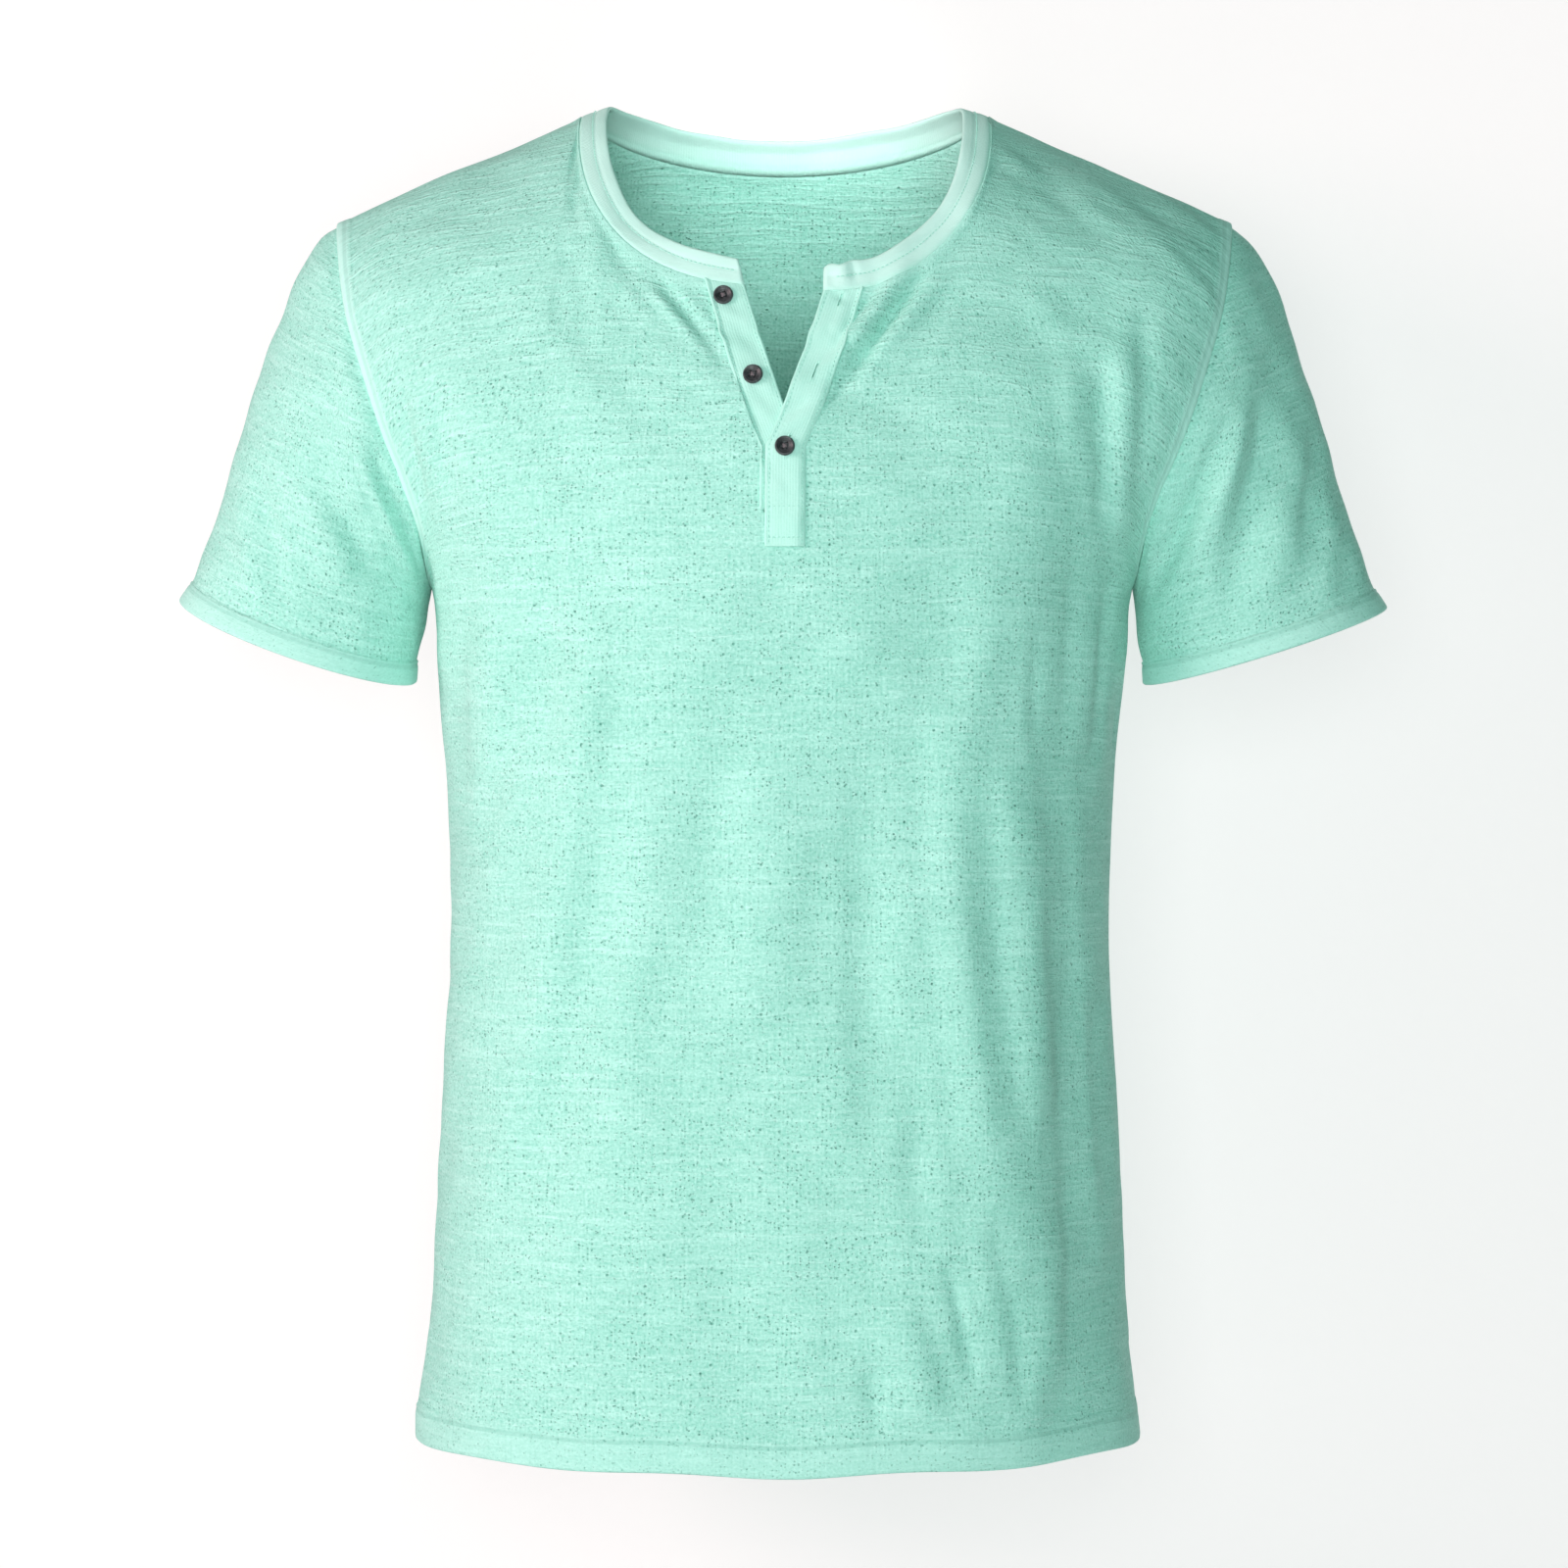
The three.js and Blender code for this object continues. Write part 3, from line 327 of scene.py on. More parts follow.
@dataclass(frozen=True)
class BodyForm:
    """The filled-out body of the shirt: level sections, shoulder ridge, armholes, neckline and placket slit."""

    hem_z: float = -693.0
    hem_depth: float = 17.0
    hem_side_lift: float = 5.2
    armpit_z: float = -250.0
    tip_z: float = -60.5
    neck_point_z: float = -3.0
    neck_half: float = 105.8
    front_neck_drop: float = 99.3
    back_neck_drop: float = 18.6
    neck_squareness: float = 2.45
    neck_sag: float = 4.5
    neck_sag_x: float = 44.0
    neck_sag_half: float = 52.0
    neck_sag_from_z: float = -180.0
    tip_half: float = 232.6
    seam_neck_y: float = 8.0
    seam_tip_y: float = 3.0
    roll_neck: float = 75.0
    roll_tip: float = 62.0
    roll_squareness: float = 1.8
    squareness: float = 2.3
    seam_gap: float = 0.1
    slit_half_width: float = 9.9
    slit_spread: float = 27.5
    spread_from_z: float = -184.0
    slit_end_share: float = 2 / 14
    levels: tuple[float, ...] = (
        -693, -670, -640, -600, -524, -433, -341, -290, -250, -221, -190, -152, -110, -60, -20, 10,
    )
    halves: tuple[float, ...] = (
        187, 185.4, 181.6, 178.6, 175.2, 170.2, 173.2, 178, 181, 193, 214, 237, 245, 251, 255, 258,
    )
    fronts: tuple[float, ...] = (
        124, 123.5, 122.5, 121, 116, 111.5, 114, 119, 121, 120.5, 117.5, 109.5, 95, 76, 62, 54,
    )
    backs: tuple[float, ...] = (
        114, 114, 114, 112, 102, 93, 101, 110, 116, 119, 120, 117, 109, 89, 66, 52,
    )
    shifts: tuple[float, ...] = (
        -2.2, -2.2, -1.9, -1.3, -0.9, -0.7, -0.5, 0, 0, 0.2, 0.4, 0.8, 1, 1.2, 1.4, 1.6,
    )
    armhole: Table = Table((-250, -221, -190, -152, -110, -60.5), (181, 185.5, 196, 209, 223, 232.6))
    ridge: Table = Table(
        (0, 60, 85, 96, 105.8, 118, 140, 165.5, 188, 212, 232.6, 250),
        (62, 46, 22, 6, -3, -9.3, -19.5, -30, -40, -50.5, -60.5, -71),
    )

    def half(self, z: Any) -> Array:
        """The half-width at a height."""
        return Table(self.levels, self.halves)(z)

    def shift(self, z: Any) -> Array:
        """How far a level section lies to the side."""
        return Table(self.levels, self.shifts)(z)

    def angle_at(self, x: Any, half: Any, squareness: float) -> Array:
        """How far round a quarter section a half-width lies, as an angle from the centre line."""
        return np.arcsin(np.minimum(1, (np.abs(x) / half) ** (squareness / 2)))

    def depth(self, x: Array, z: Array, face: Face) -> Array:
        """The Y of the front or back at places seen from the front, rolling over at the shoulder ridge.

        Args:
            x, z: the places, from the section's own middle.
            face: front or back.
        Returns:
            The Y values.
        """
        full = Table(self.levels, self.fronts if face is Face.FRONT else self.backs)(z)
        across = np.minimum(1, np.abs(x) / self.half(z))
        depth = full * (1 - across**self.squareness) ** (1 / self.squareness)
        share = np.clip((np.abs(x) - self.neck_half) / (self.tip_half - self.neck_half), 0, 1)
        seam = mix(self.seam_neck_y, self.seam_tip_y, share)
        below = np.clip((self.ridge(np.abs(x)) - z) / mix(self.roll_neck, self.roll_tip, share), 0, 1)
        roll = (1 - (1 - below) ** self.roll_squareness) ** (1 / self.roll_squareness)
        return seam * (1 - roll) + face.value * depth * roll

    def points(self, x: Array, z: Array, face: Face) -> Array:
        """The points of the body at places seen from the front.

        Args:
            x, z: the places, from the section's own middle.
            face: front or back.
        Returns:
            The points, with the last axis X, Y, Z.
        """
        y = self.depth(x, z, face) + face.value * self.seam_gap / 2
        return np.stack([x + self.shift(z), y, z + np.zeros_like(x)], -1)

    def slit_half(self, z: Any) -> Array:
        """Half the slit's width, which spreads from the crossing up to the neckline."""
        run = self.neck_point_z - self.front_neck_drop - self.spread_from_z
        return self.slit_half_width + self.slit_spread * np.maximum(0, (z - self.spread_from_z) / run) ** 0.85

    def neckline(self, angle: Any, face: Face) -> tuple[Array, Array]:
        """The neckline seam's X and Z, by the angle from the centre (0) to the neck point (a quarter turn)."""
        power = 2 / self.neck_squareness
        x = self.neck_half * np.sin(angle) ** power
        if face is Face.FRONT:
            return x, self.neck_point_z - self.front_neck_drop * np.maximum(np.cos(angle), 0) ** power
        return x, self.neck_point_z - self.back_neck_drop * (1 - (x / self.neck_half) ** 2)

    def sag(self, x: Array, z: Array) -> Array:
        """How far the open placket lets the front neckline sag on the wearer's left."""
        across = np.maximum(0, 1 - ((x - self.neck_sag_x) / self.neck_sag_half) ** 2) ** 2
        run = self.neck_point_z - self.front_neck_drop - self.neck_sag_from_z
        return self.neck_sag * across * np.clip((z - self.neck_sag_from_z) / run, 0, 1)

    def neckline_z(self, x: Any) -> Array:
        """The front neckline's height at a half-width."""
        t = np.abs(x) / self.neck_half
        n = self.neck_squareness
        z = self.neck_point_z - self.front_neck_drop * (1 - t**n) ** (1 / n)
        return z - self.sag(np.asarray(x, float), z)

    def half_panel(self, face: Face, across: Array, turn_at: float, low: Array, high: Array) -> tuple[Array, Array]:
        """The places of a half panel's grid, seen from the front.

        Args:
            face: front or back.
            across: the columns, from 0 at the centre or slit to 1 at the side.
            turn_at: the column value where the neckline ends and the shoulder seam begins.
            low: heights of the level rows below the armpit.
            high: shares of the way from the armpit to the top, for the rows above it.
        Returns:
            X and Z, each by column and row.
        """
        inner = self.slit_half if face is Face.FRONT else (lambda z: np.zeros_like(np.asarray(z, float)))
        a, zl = across[:, None], low[None, :]
        neck_inner = inner(self.neck_point_z - self.front_neck_drop)

        def reach(z: Array) -> Array:
            """The half-width of each column at level heights."""
            half = self.half(z)
            start = self.angle_at(inner(z), half, self.squareness)
            return half * np.sin(mix(start, math.pi / 2, a)) ** (2 / self.squareness)

        x_low = reach(zl)
        fade = np.clip(1 - (zl - self.hem_z - self.hem_depth) / 130, 0, 1)
        z_low = zl + self.hem_side_lift * fade * (x_low / self.half(zl)) ** 1.3
        first = self.angle_at(neck_inner, self.neck_half, self.neck_squareness)
        neck_x, neck_z = self.neckline(mix(first, math.pi / 2, np.minimum(across / turn_at, 1)), face)
        out_x = mix(self.neck_half, self.tip_half, np.clip((across - turn_at) / (1 - turn_at), 0, 1))
        on_neck = across <= turn_at
        top_x = np.where(on_neck, neck_x, out_x)[:, None]
        top_z = np.where(on_neck, neck_z, self.ridge(out_x))[:, None]
        t = high[None, :]
        base = reach(np.full((1, 1), self.armpit_z))
        inner_z = mix(self.armpit_z, top_z[0, 0], t)
        inner_miss = inner(inner_z) - mix(inner(self.armpit_z), top_x[0, 0], t)
        level = mix(self.armpit_z, self.tip_z, t)
        outer_miss = self.armhole(level) - mix(self.armhole(self.armpit_z), self.tip_half, t)
        x_high = mix(base, top_x, t) + inner_miss * (1 - a) ** 2 + outer_miss * a**2
        z_high = mix(self.armpit_z, top_z, t)
        return np.concatenate([x_low, x_high], 1), np.concatenate([z_low + np.zeros_like(x_low), z_high], 1)


@dataclass
class Cloth:
    """A sheet of cloth as a grid of points, with its two faces' distances and what its surface carries.

    Attributes:
        name: the piece's name.
        grid: points of the middle surface, by column and row.
        out, inn: how far the outer and inner face lie from it.
        kept: which cells are cloth.
        wraps: whether the last column joins the first.
        pale: how much paler and smoother the cloth is, from 0 to 1, as over a seam's turned edges.
        seam: closeness to a row of stitches, which puckers the cloth and, in the jersey, sets where painted shade
            darkens the stitch groove.
        level_row: the row that runs straight across the flat cloth.
    """

    name: str
    grid: Array
    out: Array
    inn: Array
    kept: Array
    wraps: bool = False
    pale: Array | None = None
    seam: Array | None = None
    level_row: int = 0
    normals: Array = field(init=False)

    def __post_init__(self) -> None:
        """Works out the normals from the grid."""
        self.normals = grid_normals(self.grid, self.kept, self.wraps)

    @classmethod
    def plain(cls, name: str, grid: Array, thick: float, kept: Array | None = None, wraps: bool = False) -> "Cloth":
        """A sheet of one thickness, with no marks on it yet."""
        shape = grid.shape[:2]
        cells = (shape[0] if wraps else shape[0] - 1, shape[1] - 1)
        keep = np.ones(cells, bool) if kept is None else kept
        half = np.full(shape, thick / 2)
        return cls(name, grid, half.copy(), half.copy(), keep, wraps, np.zeros(shape), np.zeros(shape))

    def lengths(self) -> tuple[Array, Array]:
        """Distances along the cloth: from the first column along each row, and from the first row up each column."""
        g = self.grid
        u = np.zeros(g.shape[:2])
        v = np.zeros(g.shape[:2])
        u[1:] = np.cumsum(np.linalg.norm(np.diff(g, axis=0), axis=-1), 0)
        v[:, 1:] = np.cumsum(np.linalg.norm(np.diff(g, axis=1), axis=-1), 1)
        return u, v

    def at(self, i: Array, j: Array, off: float = 0.0) -> tuple[Array, Array]:
        """Places on the sheet.

        Args:
            i, j: column and row, with fractions.
            off: distance off the middle surface.
        Returns:
            The points and the normals there.
        """
        columns, rows = self.grid.shape[:2]
        i = np.clip(i, 0, columns - (0.0 if self.wraps else 1.0) - 1e-6)
        j = np.clip(j, 0, rows - 1 - 1e-6)
        a, b = np.floor(i).astype(int), np.floor(j).astype(int)
        s, t = (i - a)[:, None], (j - b)[:, None]
        c = (a + 1) % columns

        def read(field_: Array) -> Array:
            """One field of the grid at the places."""
            low = mix(field_[a, b], field_[c, b], s)
            return mix(low, mix(field_[a, b + 1], field_[c, b + 1], s), t)

        normal = unit(read(self.normals))
        return read(self.grid) + normal * off, normal

    def build(self) -> bpy.types.Object:
        """Makes the closed shell as a Blender object.

        Returns:
            The object, with UVs in metres and the two surface marks as attributes.
        """
        columns, rows = self.grid.shape[:2]
        g = self.grid
        points = np.stack([g + self.normals * self.out[..., None], g - self.normals * self.inn[..., None]], 2)
        u, v = self.lengths()
        u -= u[columns // 2][None, :]
        v -= v[:, self.level_row][:, None]
        ring = columns if self.wraps else columns - 1
        ii, jj = np.nonzero(self.kept)
        nxt = (ii + 1) % columns
        faces, uvs = [], []
        around = np.linalg.norm(g[0] - g[-1], axis=-1)

        def uv(i: Array, j: Array, stepped: Array | None = None) -> Array:
            """UVs of grid corners; stepped marks corners past the last column of a tube."""
            flat = np.stack([u[i, j], v[i, j]], -1)
            if self.wraps and stepped is not None:
                over = stepped & (i == 0)
                flat[over] = np.stack([u[-1, j[over]] + around[j[over]], v[-1, j[over]]], -1)
            return flat

        def index(i: Array, j: Array, side: int) -> Array:
            """Vertex numbers of grid corners on the outer (0) or inner (1) face."""
            return 2 * (i * rows + j) + side

        def quad(corners: list[tuple[Array, Array, int, bool]]) -> None:
            """Adds a set of four-sided faces."""
            faces.append(np.stack([index(i, j, side) for i, j, side, _ in corners], -1))
            uvs.append(np.stack([uv(i, j, np.full(i.shape, step)) for i, j, _, step in corners], 1))

        quad([(ii, jj, 0, False), (nxt, jj, 0, True), (nxt, jj + 1, 0, True), (ii, jj + 1, 0, False)])
        quad([(ii, jj, 1, False), (ii, jj + 1, 1, False), (nxt, jj + 1, 1, True), (nxt, jj, 1, True)])
        padded = np.zeros((ring + 2, rows + 1), bool)
        padded[1:-1, 1:-1] = self.kept
        if self.wraps:
            padded[0], padded[-1] = padded[-2], padded[1]
        for di, dj in ((0, -1), (0, 1), (-1, 0), (1, 0)):
            beside = padded[1 + di : ring + 1 + di, 1 + dj : rows + dj]
            a, b = np.nonzero(self.kept & ~beside)
            n = (a + 1) % columns
            ends = {
                (0, -1): ((a, b, False), (n, b, True)),
                (0, 1): ((n, b + 1, True), (a, b + 1, False)),
                (-1, 0): ((a, b + 1, False), (a, b, False)),
                (1, 0): ((n, b, True), (n, b + 1, True)),
            }[(di, dj)]
            (ia, ja, sa), (ib, jb, sb) = ends
            quad([(ia, ja, 1, sa), (ib, jb, 1, sb), (ib, jb, 0, sb), (ia, ja, 0, sa)])
        marks = {key: np.repeat(values.reshape(-1), 2) for key, values in (("pale", self.pale), ("seam", self.seam))}
        return make_cloth_object(self.name, points.reshape(-1, 3), np.concatenate(faces), np.concatenate(uvs), marks)


def grid_normals(grid: Array, kept: Array, wraps: bool) -> Array:
    """Normals at the points of a grid, from the cells that are cloth.

    Args:
        grid: points by column and row.
        kept: which cells are cloth.
        wraps: whether the last column joins the first.
    Returns:
        Unit normals by column and row.
    """
    nxt = np.roll(grid, -1, 0) if wraps else grid[1:]
    here = grid if wraps else grid[:-1]
    cross = np.cross(nxt[:, 1:] - here[:, :-1], here[:, 1:] - nxt[:, :-1]) * kept[..., None]
    total = np.zeros_like(grid)
    count = cross.shape[0]
    for di in (0, 1):
        for dj in (0, 1):
            rolled = np.roll(cross, di, 0) if wraps else cross
            start = 0 if wraps else di
            total[start : start + count, dj : dj + cross.shape[1]] += rolled
    return unit(total)


def make_cloth_object(name: str, points: Array, faces: Array, uvs: Array, marks: dict[str, Array]) -> bpy.types.Object:
    """Makes a cloth's mesh object with what its finish reads.

    Args:
        name: the object's name.
        points: vertex positions in millimetres, unused ones too.
        faces: vertex numbers, a row a face.
        uvs: the place on the flat cloth of each corner of each face, in millimetres.
        marks: a number for each vertex, by attribute name.
    Returns:
        The object.
    """
    used, compact = np.unique(faces, return_inverse=True)
    item = make_mesh(name, points[used], compact.reshape(faces.shape).tolist())
    layer = item.data.uv_layers.new(name="cloth")
    layer.data.foreach_set("uv", (uvs.reshape(-1) * MM).astype(np.float32))
    for key, values in marks.items():
        attribute = item.data.attributes.new(key, "FLOAT", "POINT")
        attribute.data.foreach_set("value", values[used].astype(np.float32))
    item.data.update()
    return item


@dataclass
class Stitches:
    """Rows of sewing thread that lie along a cloth's surface.

    Attributes:
        name: the piece's name.
        step: from one stitch to the next.
        long: a stitch's length.
        thick: the thread's thickness.
        shoulder: where a stitch has its full thickness, as a share of half its length.
        plump: how much higher than round it stands.
    """

    name: str
    step: float = 2.8
    long: float = 2.1
    thick: float = 0.55
    shoulder: float = 0.55
    plump: float = 1.3
    points: list[Array] = field(default_factory=list)
    faces: list[Array] = field(default_factory=list)
    count: int = 0

    def along(self, path: Array, normals: Array, closed: bool = False) -> None:
        """Sews one row.

        Args:
            path: points along the row, on the cloth.
            normals: the cloth's outward directions there.
            closed: whether the row runs round to its start.
        """
        if closed:
            path, normals = np.vstack([path, path[:1]]), np.vstack([normals, normals[:1]])
        run = run_along(path)

        def read(values: Array, s: float) -> Array:
            """A field of the row at a distance along it."""
            return np.array([np.interp(s, run, values[:, c]) for c in range(3)])

        for s in np.arange(self.step / 2, run[-1] - self.step / 2, self.step):
            ends = [read(path, s + k * self.long / 2) for k in (-1, -self.shoulder, self.shoulder, 1)]
            self.one(ends, unit(read(normals, s)))

    def one(self, ends: list[Array], normal: Array) -> None:
        """Adds one stitch: a plump bead with its ends in the cloth.

        Args:
            ends: four places along it.
            normal: the cloth's outward direction.
        """
        aside = unit(np.cross(ends[3] - ends[0], normal))
        r = self.thick / 2
        offsets = (aside * r, normal * r * self.plump, -aside * r, -normal * r)
        rings = [[end + offset for offset in offsets] for end in ends[1:3]]
        verts = [ends[0] - normal * r, *rings[0], *rings[1], ends[3] - normal * r]
        base = self.count
        quads = []
        for k in range(4):
            n = (k + 1) % 4
            quads += [[0, 1 + n, 1 + k, 0], [1 + k, 1 + n, 5 + n, 5 + k], [9, 5 + k, 5 + n, 9]]
        self.points.append(np.array(verts))
        self.faces.append(np.array(quads) + base)
        self.count += len(verts)

    def build(self) -> bpy.types.Object:
        """Makes all the rows as one object.

        Returns:
            The object.
        """
        polygons = [q[:3] if q[3] == q[0] else q for q in np.concatenate(self.faces).tolist()]
        return make_mesh(self.name, np.concatenate(self.points), polygons)


class Wire:
    """A shader socket that can be used in sums."""

    def __init__(self, shader: "Shader", socket: bpy.types.NodeSocket) -> None:
        """Keeps the socket and the shader that it belongs to."""
        self.shader, self.socket = shader, socket

    def _math(self, operation: str, *values: Any) -> "Wire":
        """A Math node's result."""
        node = self.shader.node("ShaderNodeMath", {"operation": operation}, dict(enumerate(values)))
        return Wire(self.shader, node.outputs[0])

    def __add__(self, other: Any) -> "Wire":
        """self + other."""
        return self._math("ADD", self, other)

    def __radd__(self, other: Any) -> "Wire":
        """other + self."""
        return self._math("ADD", other, self)

    def __sub__(self, other: Any) -> "Wire":
        """self - other."""
        return self._math("SUBTRACT", self, other)

    def __rsub__(self, other: Any) -> "Wire":
        """other - self."""
        return self._math("SUBTRACT", other, self)

    def __mul__(self, other: Any) -> "Wire":
        """self * other."""
        return self._math("MULTIPLY", self, other)

    def __rmul__(self, other: Any) -> "Wire":
        """other * self."""
        return self._math("MULTIPLY", other, self)

    def above(self, edge: float, soft: float) -> "Wire":
        """A soft step from 0 to 1 where the value passes an edge."""
        settings = {"interpolation_type": "SMOOTHSTEP"}
        inputs = {0: self, 1: edge - soft, 2: edge + soft, 3: 0.0, 4: 1.0}
        return Wire(self.shader, self.shader.node("ShaderNodeMapRange", settings, inputs).outputs[0])

    def sine(self) -> "Wire":
        """The value's sine."""
        return self._math("SINE", self)


class Shader:
    """A material's node tree."""

    def __init__(self, name: str) -> None:
        """Makes the material with an empty tree."""
        self.material = bpy.data.materials.new(name)
        self.material.use_nodes = True
        self.tree = self.material.node_tree
        self.tree.nodes.clear()

    def node(self, kind: str, settings: dict[str, Any] | None = None, inputs: dict[Any, Any] | None = None) -> Any:
        """Adds a node.

        Args:
            kind: the node's type.
            settings: its properties, which are set first.
            inputs: values or wires for its sockets, by name or number.
        Returns:
            The node.
        """
        made = self.tree.nodes.new(kind)
        for key, value in (settings or {}).items():
            setattr(made, key, value)
        for key, value in (inputs or {}).items():
            socket = made.inputs[key]
            if isinstance(value, Wire):
                self.tree.links.new(value.socket, socket)
            else:
                socket.default_value = value
        return made

    def wire(self, kind: str, settings: dict[str, Any], inputs: dict[Any, Any], output: Any = 0) -> Wire:
        """Adds a node and gives one of its outputs."""
        return Wire(self, self.node(kind, settings, inputs).outputs[output])

    def cloth_place(self, across: float, along: float, seed: float) -> Wire:
        """The place on the cloth, stretched.

        Args:
            across, along: how many times a metre holds the pattern's unit, each way.
            seed: moves the pattern.
        Returns:
            The vector.
        """
        uv = self.wire("ShaderNodeUVMap", {"uv_map": "cloth"}, {})
        scaled = self.wire("ShaderNodeVectorMath", {"operation": "MULTIPLY"}, {0: uv, 1: (across, along, 1.0)})
        return self.wire("ShaderNodeVectorMath", {"operation": "ADD"}, {0: scaled, 1: (seed, seed * 0.7, seed)})

    def noise(self, across: float, along: float, seed: float, detail: float = 2.0, wavy: float = 0.0) -> Wire:
        """Noise on the cloth, about 0.5 on average; wavy rows wander up and down by up to so many millimetres."""
        place = self.cloth_place(across, along, seed)
        if wavy:
            wander = (self.noise(16, 9, seed + 50, 1) - 0.5) * (wavy * 0.004 * along)
            shift = self.wire("ShaderNodeCombineXYZ", {}, {1: wander})
            place = self.wire("ShaderNodeVectorMath", {"operation": "ADD"}, {0: place, 1: shift})
        settings = {"noise_dimensions": "3D"}
        return self.wire("ShaderNodeTexNoise", settings, {"Vector": place, "Scale": 1.0, "Detail": detail})

    def dots(self, count: float, seed: float, most: float, least: float) -> Wire:
        """Small round dots of uneven size strewn over the cloth.

        Args:
            count: places for a dot along a metre.
            seed: moves the pattern.
            most, least: the largest and smallest radius as a share of the spacing; below zero there is no dot.
        Returns:
            1 on a dot and 0 beside it.
        """
        place = self.cloth_place(count, count * 1.12, seed)
        settings = {"voronoi_dimensions": "2D", "feature": "F1"}
        cell = self.node("ShaderNodeTexVoronoi", settings, {"Vector": place, "Scale": 1.0, "Randomness": 1.0})
        chance = self.wire("ShaderNodeSeparateColor", {}, {0: Wire(self, cell.outputs["Color"])})
        return (chance * (most - least) + least - Wire(self, cell.outputs["Distance"])).above(0.0, 0.07)

    def mark(self, name: str) -> Wire:
        """A number that the mesh carries."""
        return self.wire("ShaderNodeAttribute", {"attribute_name": name}, {}, "Fac")

    def blend(self, share: Any, low: Any, high: Any) -> Wire:
        """A colour a share of the way from low to high."""
        inputs = {"Factor": share, "A": low, "B": high}
        node = self.tree.nodes.new("ShaderNodeMix")
        node.data_type = "RGBA"
        for key, value in inputs.items():
            socket = next(s for s in node.inputs if s.name == key and s.enabled)
            if isinstance(value, Wire):
                self.tree.links.new(value.socket, socket)
            else:
                socket.default_value = value
        return Wire(self, next(s for s in node.outputs if s.enabled))

    def finish(
        self, colour: Any, roughness: Any, height: Wire | None, depth: float, **constant: float
    ) -> bpy.types.Material:
        """Ends the tree in one surface.

        Args:
            colour, roughness: values or wires.
            height: relief, or None.
            depth: the relief's height in metres.
            constant: further socket values, with _ for a space.
        Returns:
            The material.
        """
        inputs: dict[Any, Any] = {"Base Color": colour, "Roughness": roughness}
        inputs.update({key.replace("_", " "): value for key, value in constant.items()})
        if height is not None:
            inputs["Normal"] = self.wire("ShaderNodeBump", {}, {"Strength": 1.0, "Distance": depth, "Height": height})
        surface = self.wire("ShaderNodeBsdfPrincipled", {}, inputs)
        self.node("ShaderNodeOutputMaterial", {}, {"Surface": surface})
        return self.material


Colour = tuple[float, float, float, float]
FUZZ = {"Sheen_Weight": 0.18, "Sheen_Roughness": 0.5, "Specular_IOR_Level": 0.2}


@dataclass(frozen=True)
class JerseyFinish:
    """Slub jersey: pale uneven yarns along the rows, small pinholes between them, smoother over turned edges, with
    painted shade in the pinholes and along the stitch grooves.
    """

    name: str = "slub_jersey"
    base: Colour = (0.315, 0.700, 0.585, 1.0)
    pale: Colour = (0.610, 0.960, 0.870, 1.0)
    # dark is the colour of the painted shade in the stitch grooves and the pinholes.
    dark: Colour = (0.105, 0.400, 0.310, 1.0)
    double: Colour = (0.690, 1.0, 0.925, 1.0)
    seed: float = 3.0
    usual: float = 0.36
    doubled: float = 0.68
    seam_painted_shade: float = 0.26
    hole_painted_shade: float = 0.72
    rough: float = 0.88
    relief: float = 0.00065

    def make(self) -> bpy.types.Material:
        """Makes the material."""
        s = Shader(self.name)
        turned = s.mark("pale")
        bare = 1 - turned * 0.8
        slub = s.noise(20, 300, self.seed, 2, 1.4).above(0.56, 0.13)
        thin_slub = s.noise(42, 620, self.seed + 5, 1, 1.2).above(0.57, 0.13)
        cloud = s.noise(10, 16, self.seed + 9, 2)
        cluster = s.noise(24, 46, self.seed + 13, 2).above(0.50, 0.12)
        rows = s.noise(60, 420, self.seed + 15, 1).above(0.47, 0.14)
        small_holes = s.dots(470, self.seed + 17, 0.22, -0.20) * (cluster * 0.6 + 0.4)
        holes = (small_holes + s.dots(210, self.seed + 19, 0.13, -0.20)) * (rows * 0.4 + 0.6) * bare
        grain = s.noise(640, 700, self.seed + 21, 2)
        yarn = s.noise(150, 620, self.seed + 23, 2, 1.0)
        upright = s.noise(900, 55, self.seed + 27, 1)
        yarns = slub * 0.24 + thin_slub * 0.09 + (grain - 0.5) * 1.7 + (yarn - 0.5) * 0.6 + (upright - 0.5) * 0.5
        light = self.usual + yarns * bare
        light = light + (cloud - 0.5) * 0.25
        colour = s.blend(light, self.base, self.pale)
        colour = s.blend(turned * self.doubled, colour, self.double)
        # Painted shade along the stitch lines: the colour darkens in the groove that they press in.
        colour = s.blend(s.mark("seam").above(0.91, 0.08) * self.seam_painted_shade, colour, self.dark)
        # Painted shade in the pinholes, where the shadowed inside of the shirt shows through.
        colour = s.blend(holes * self.hole_painted_shade, colour, self.dark)
        pucker = s.noise(150, 150, self.seed + 25, 1) * s.mark("seam")
        knit = slub * 0.35 + thin_slub * 0.20 + yarn * 0.55 + grain * 0.6 + upright * 0.25 - holes * 0.9
        return s.finish(colour, self.rough, knit * bare + pucker * 1.3, self.relief, **FUZZ)


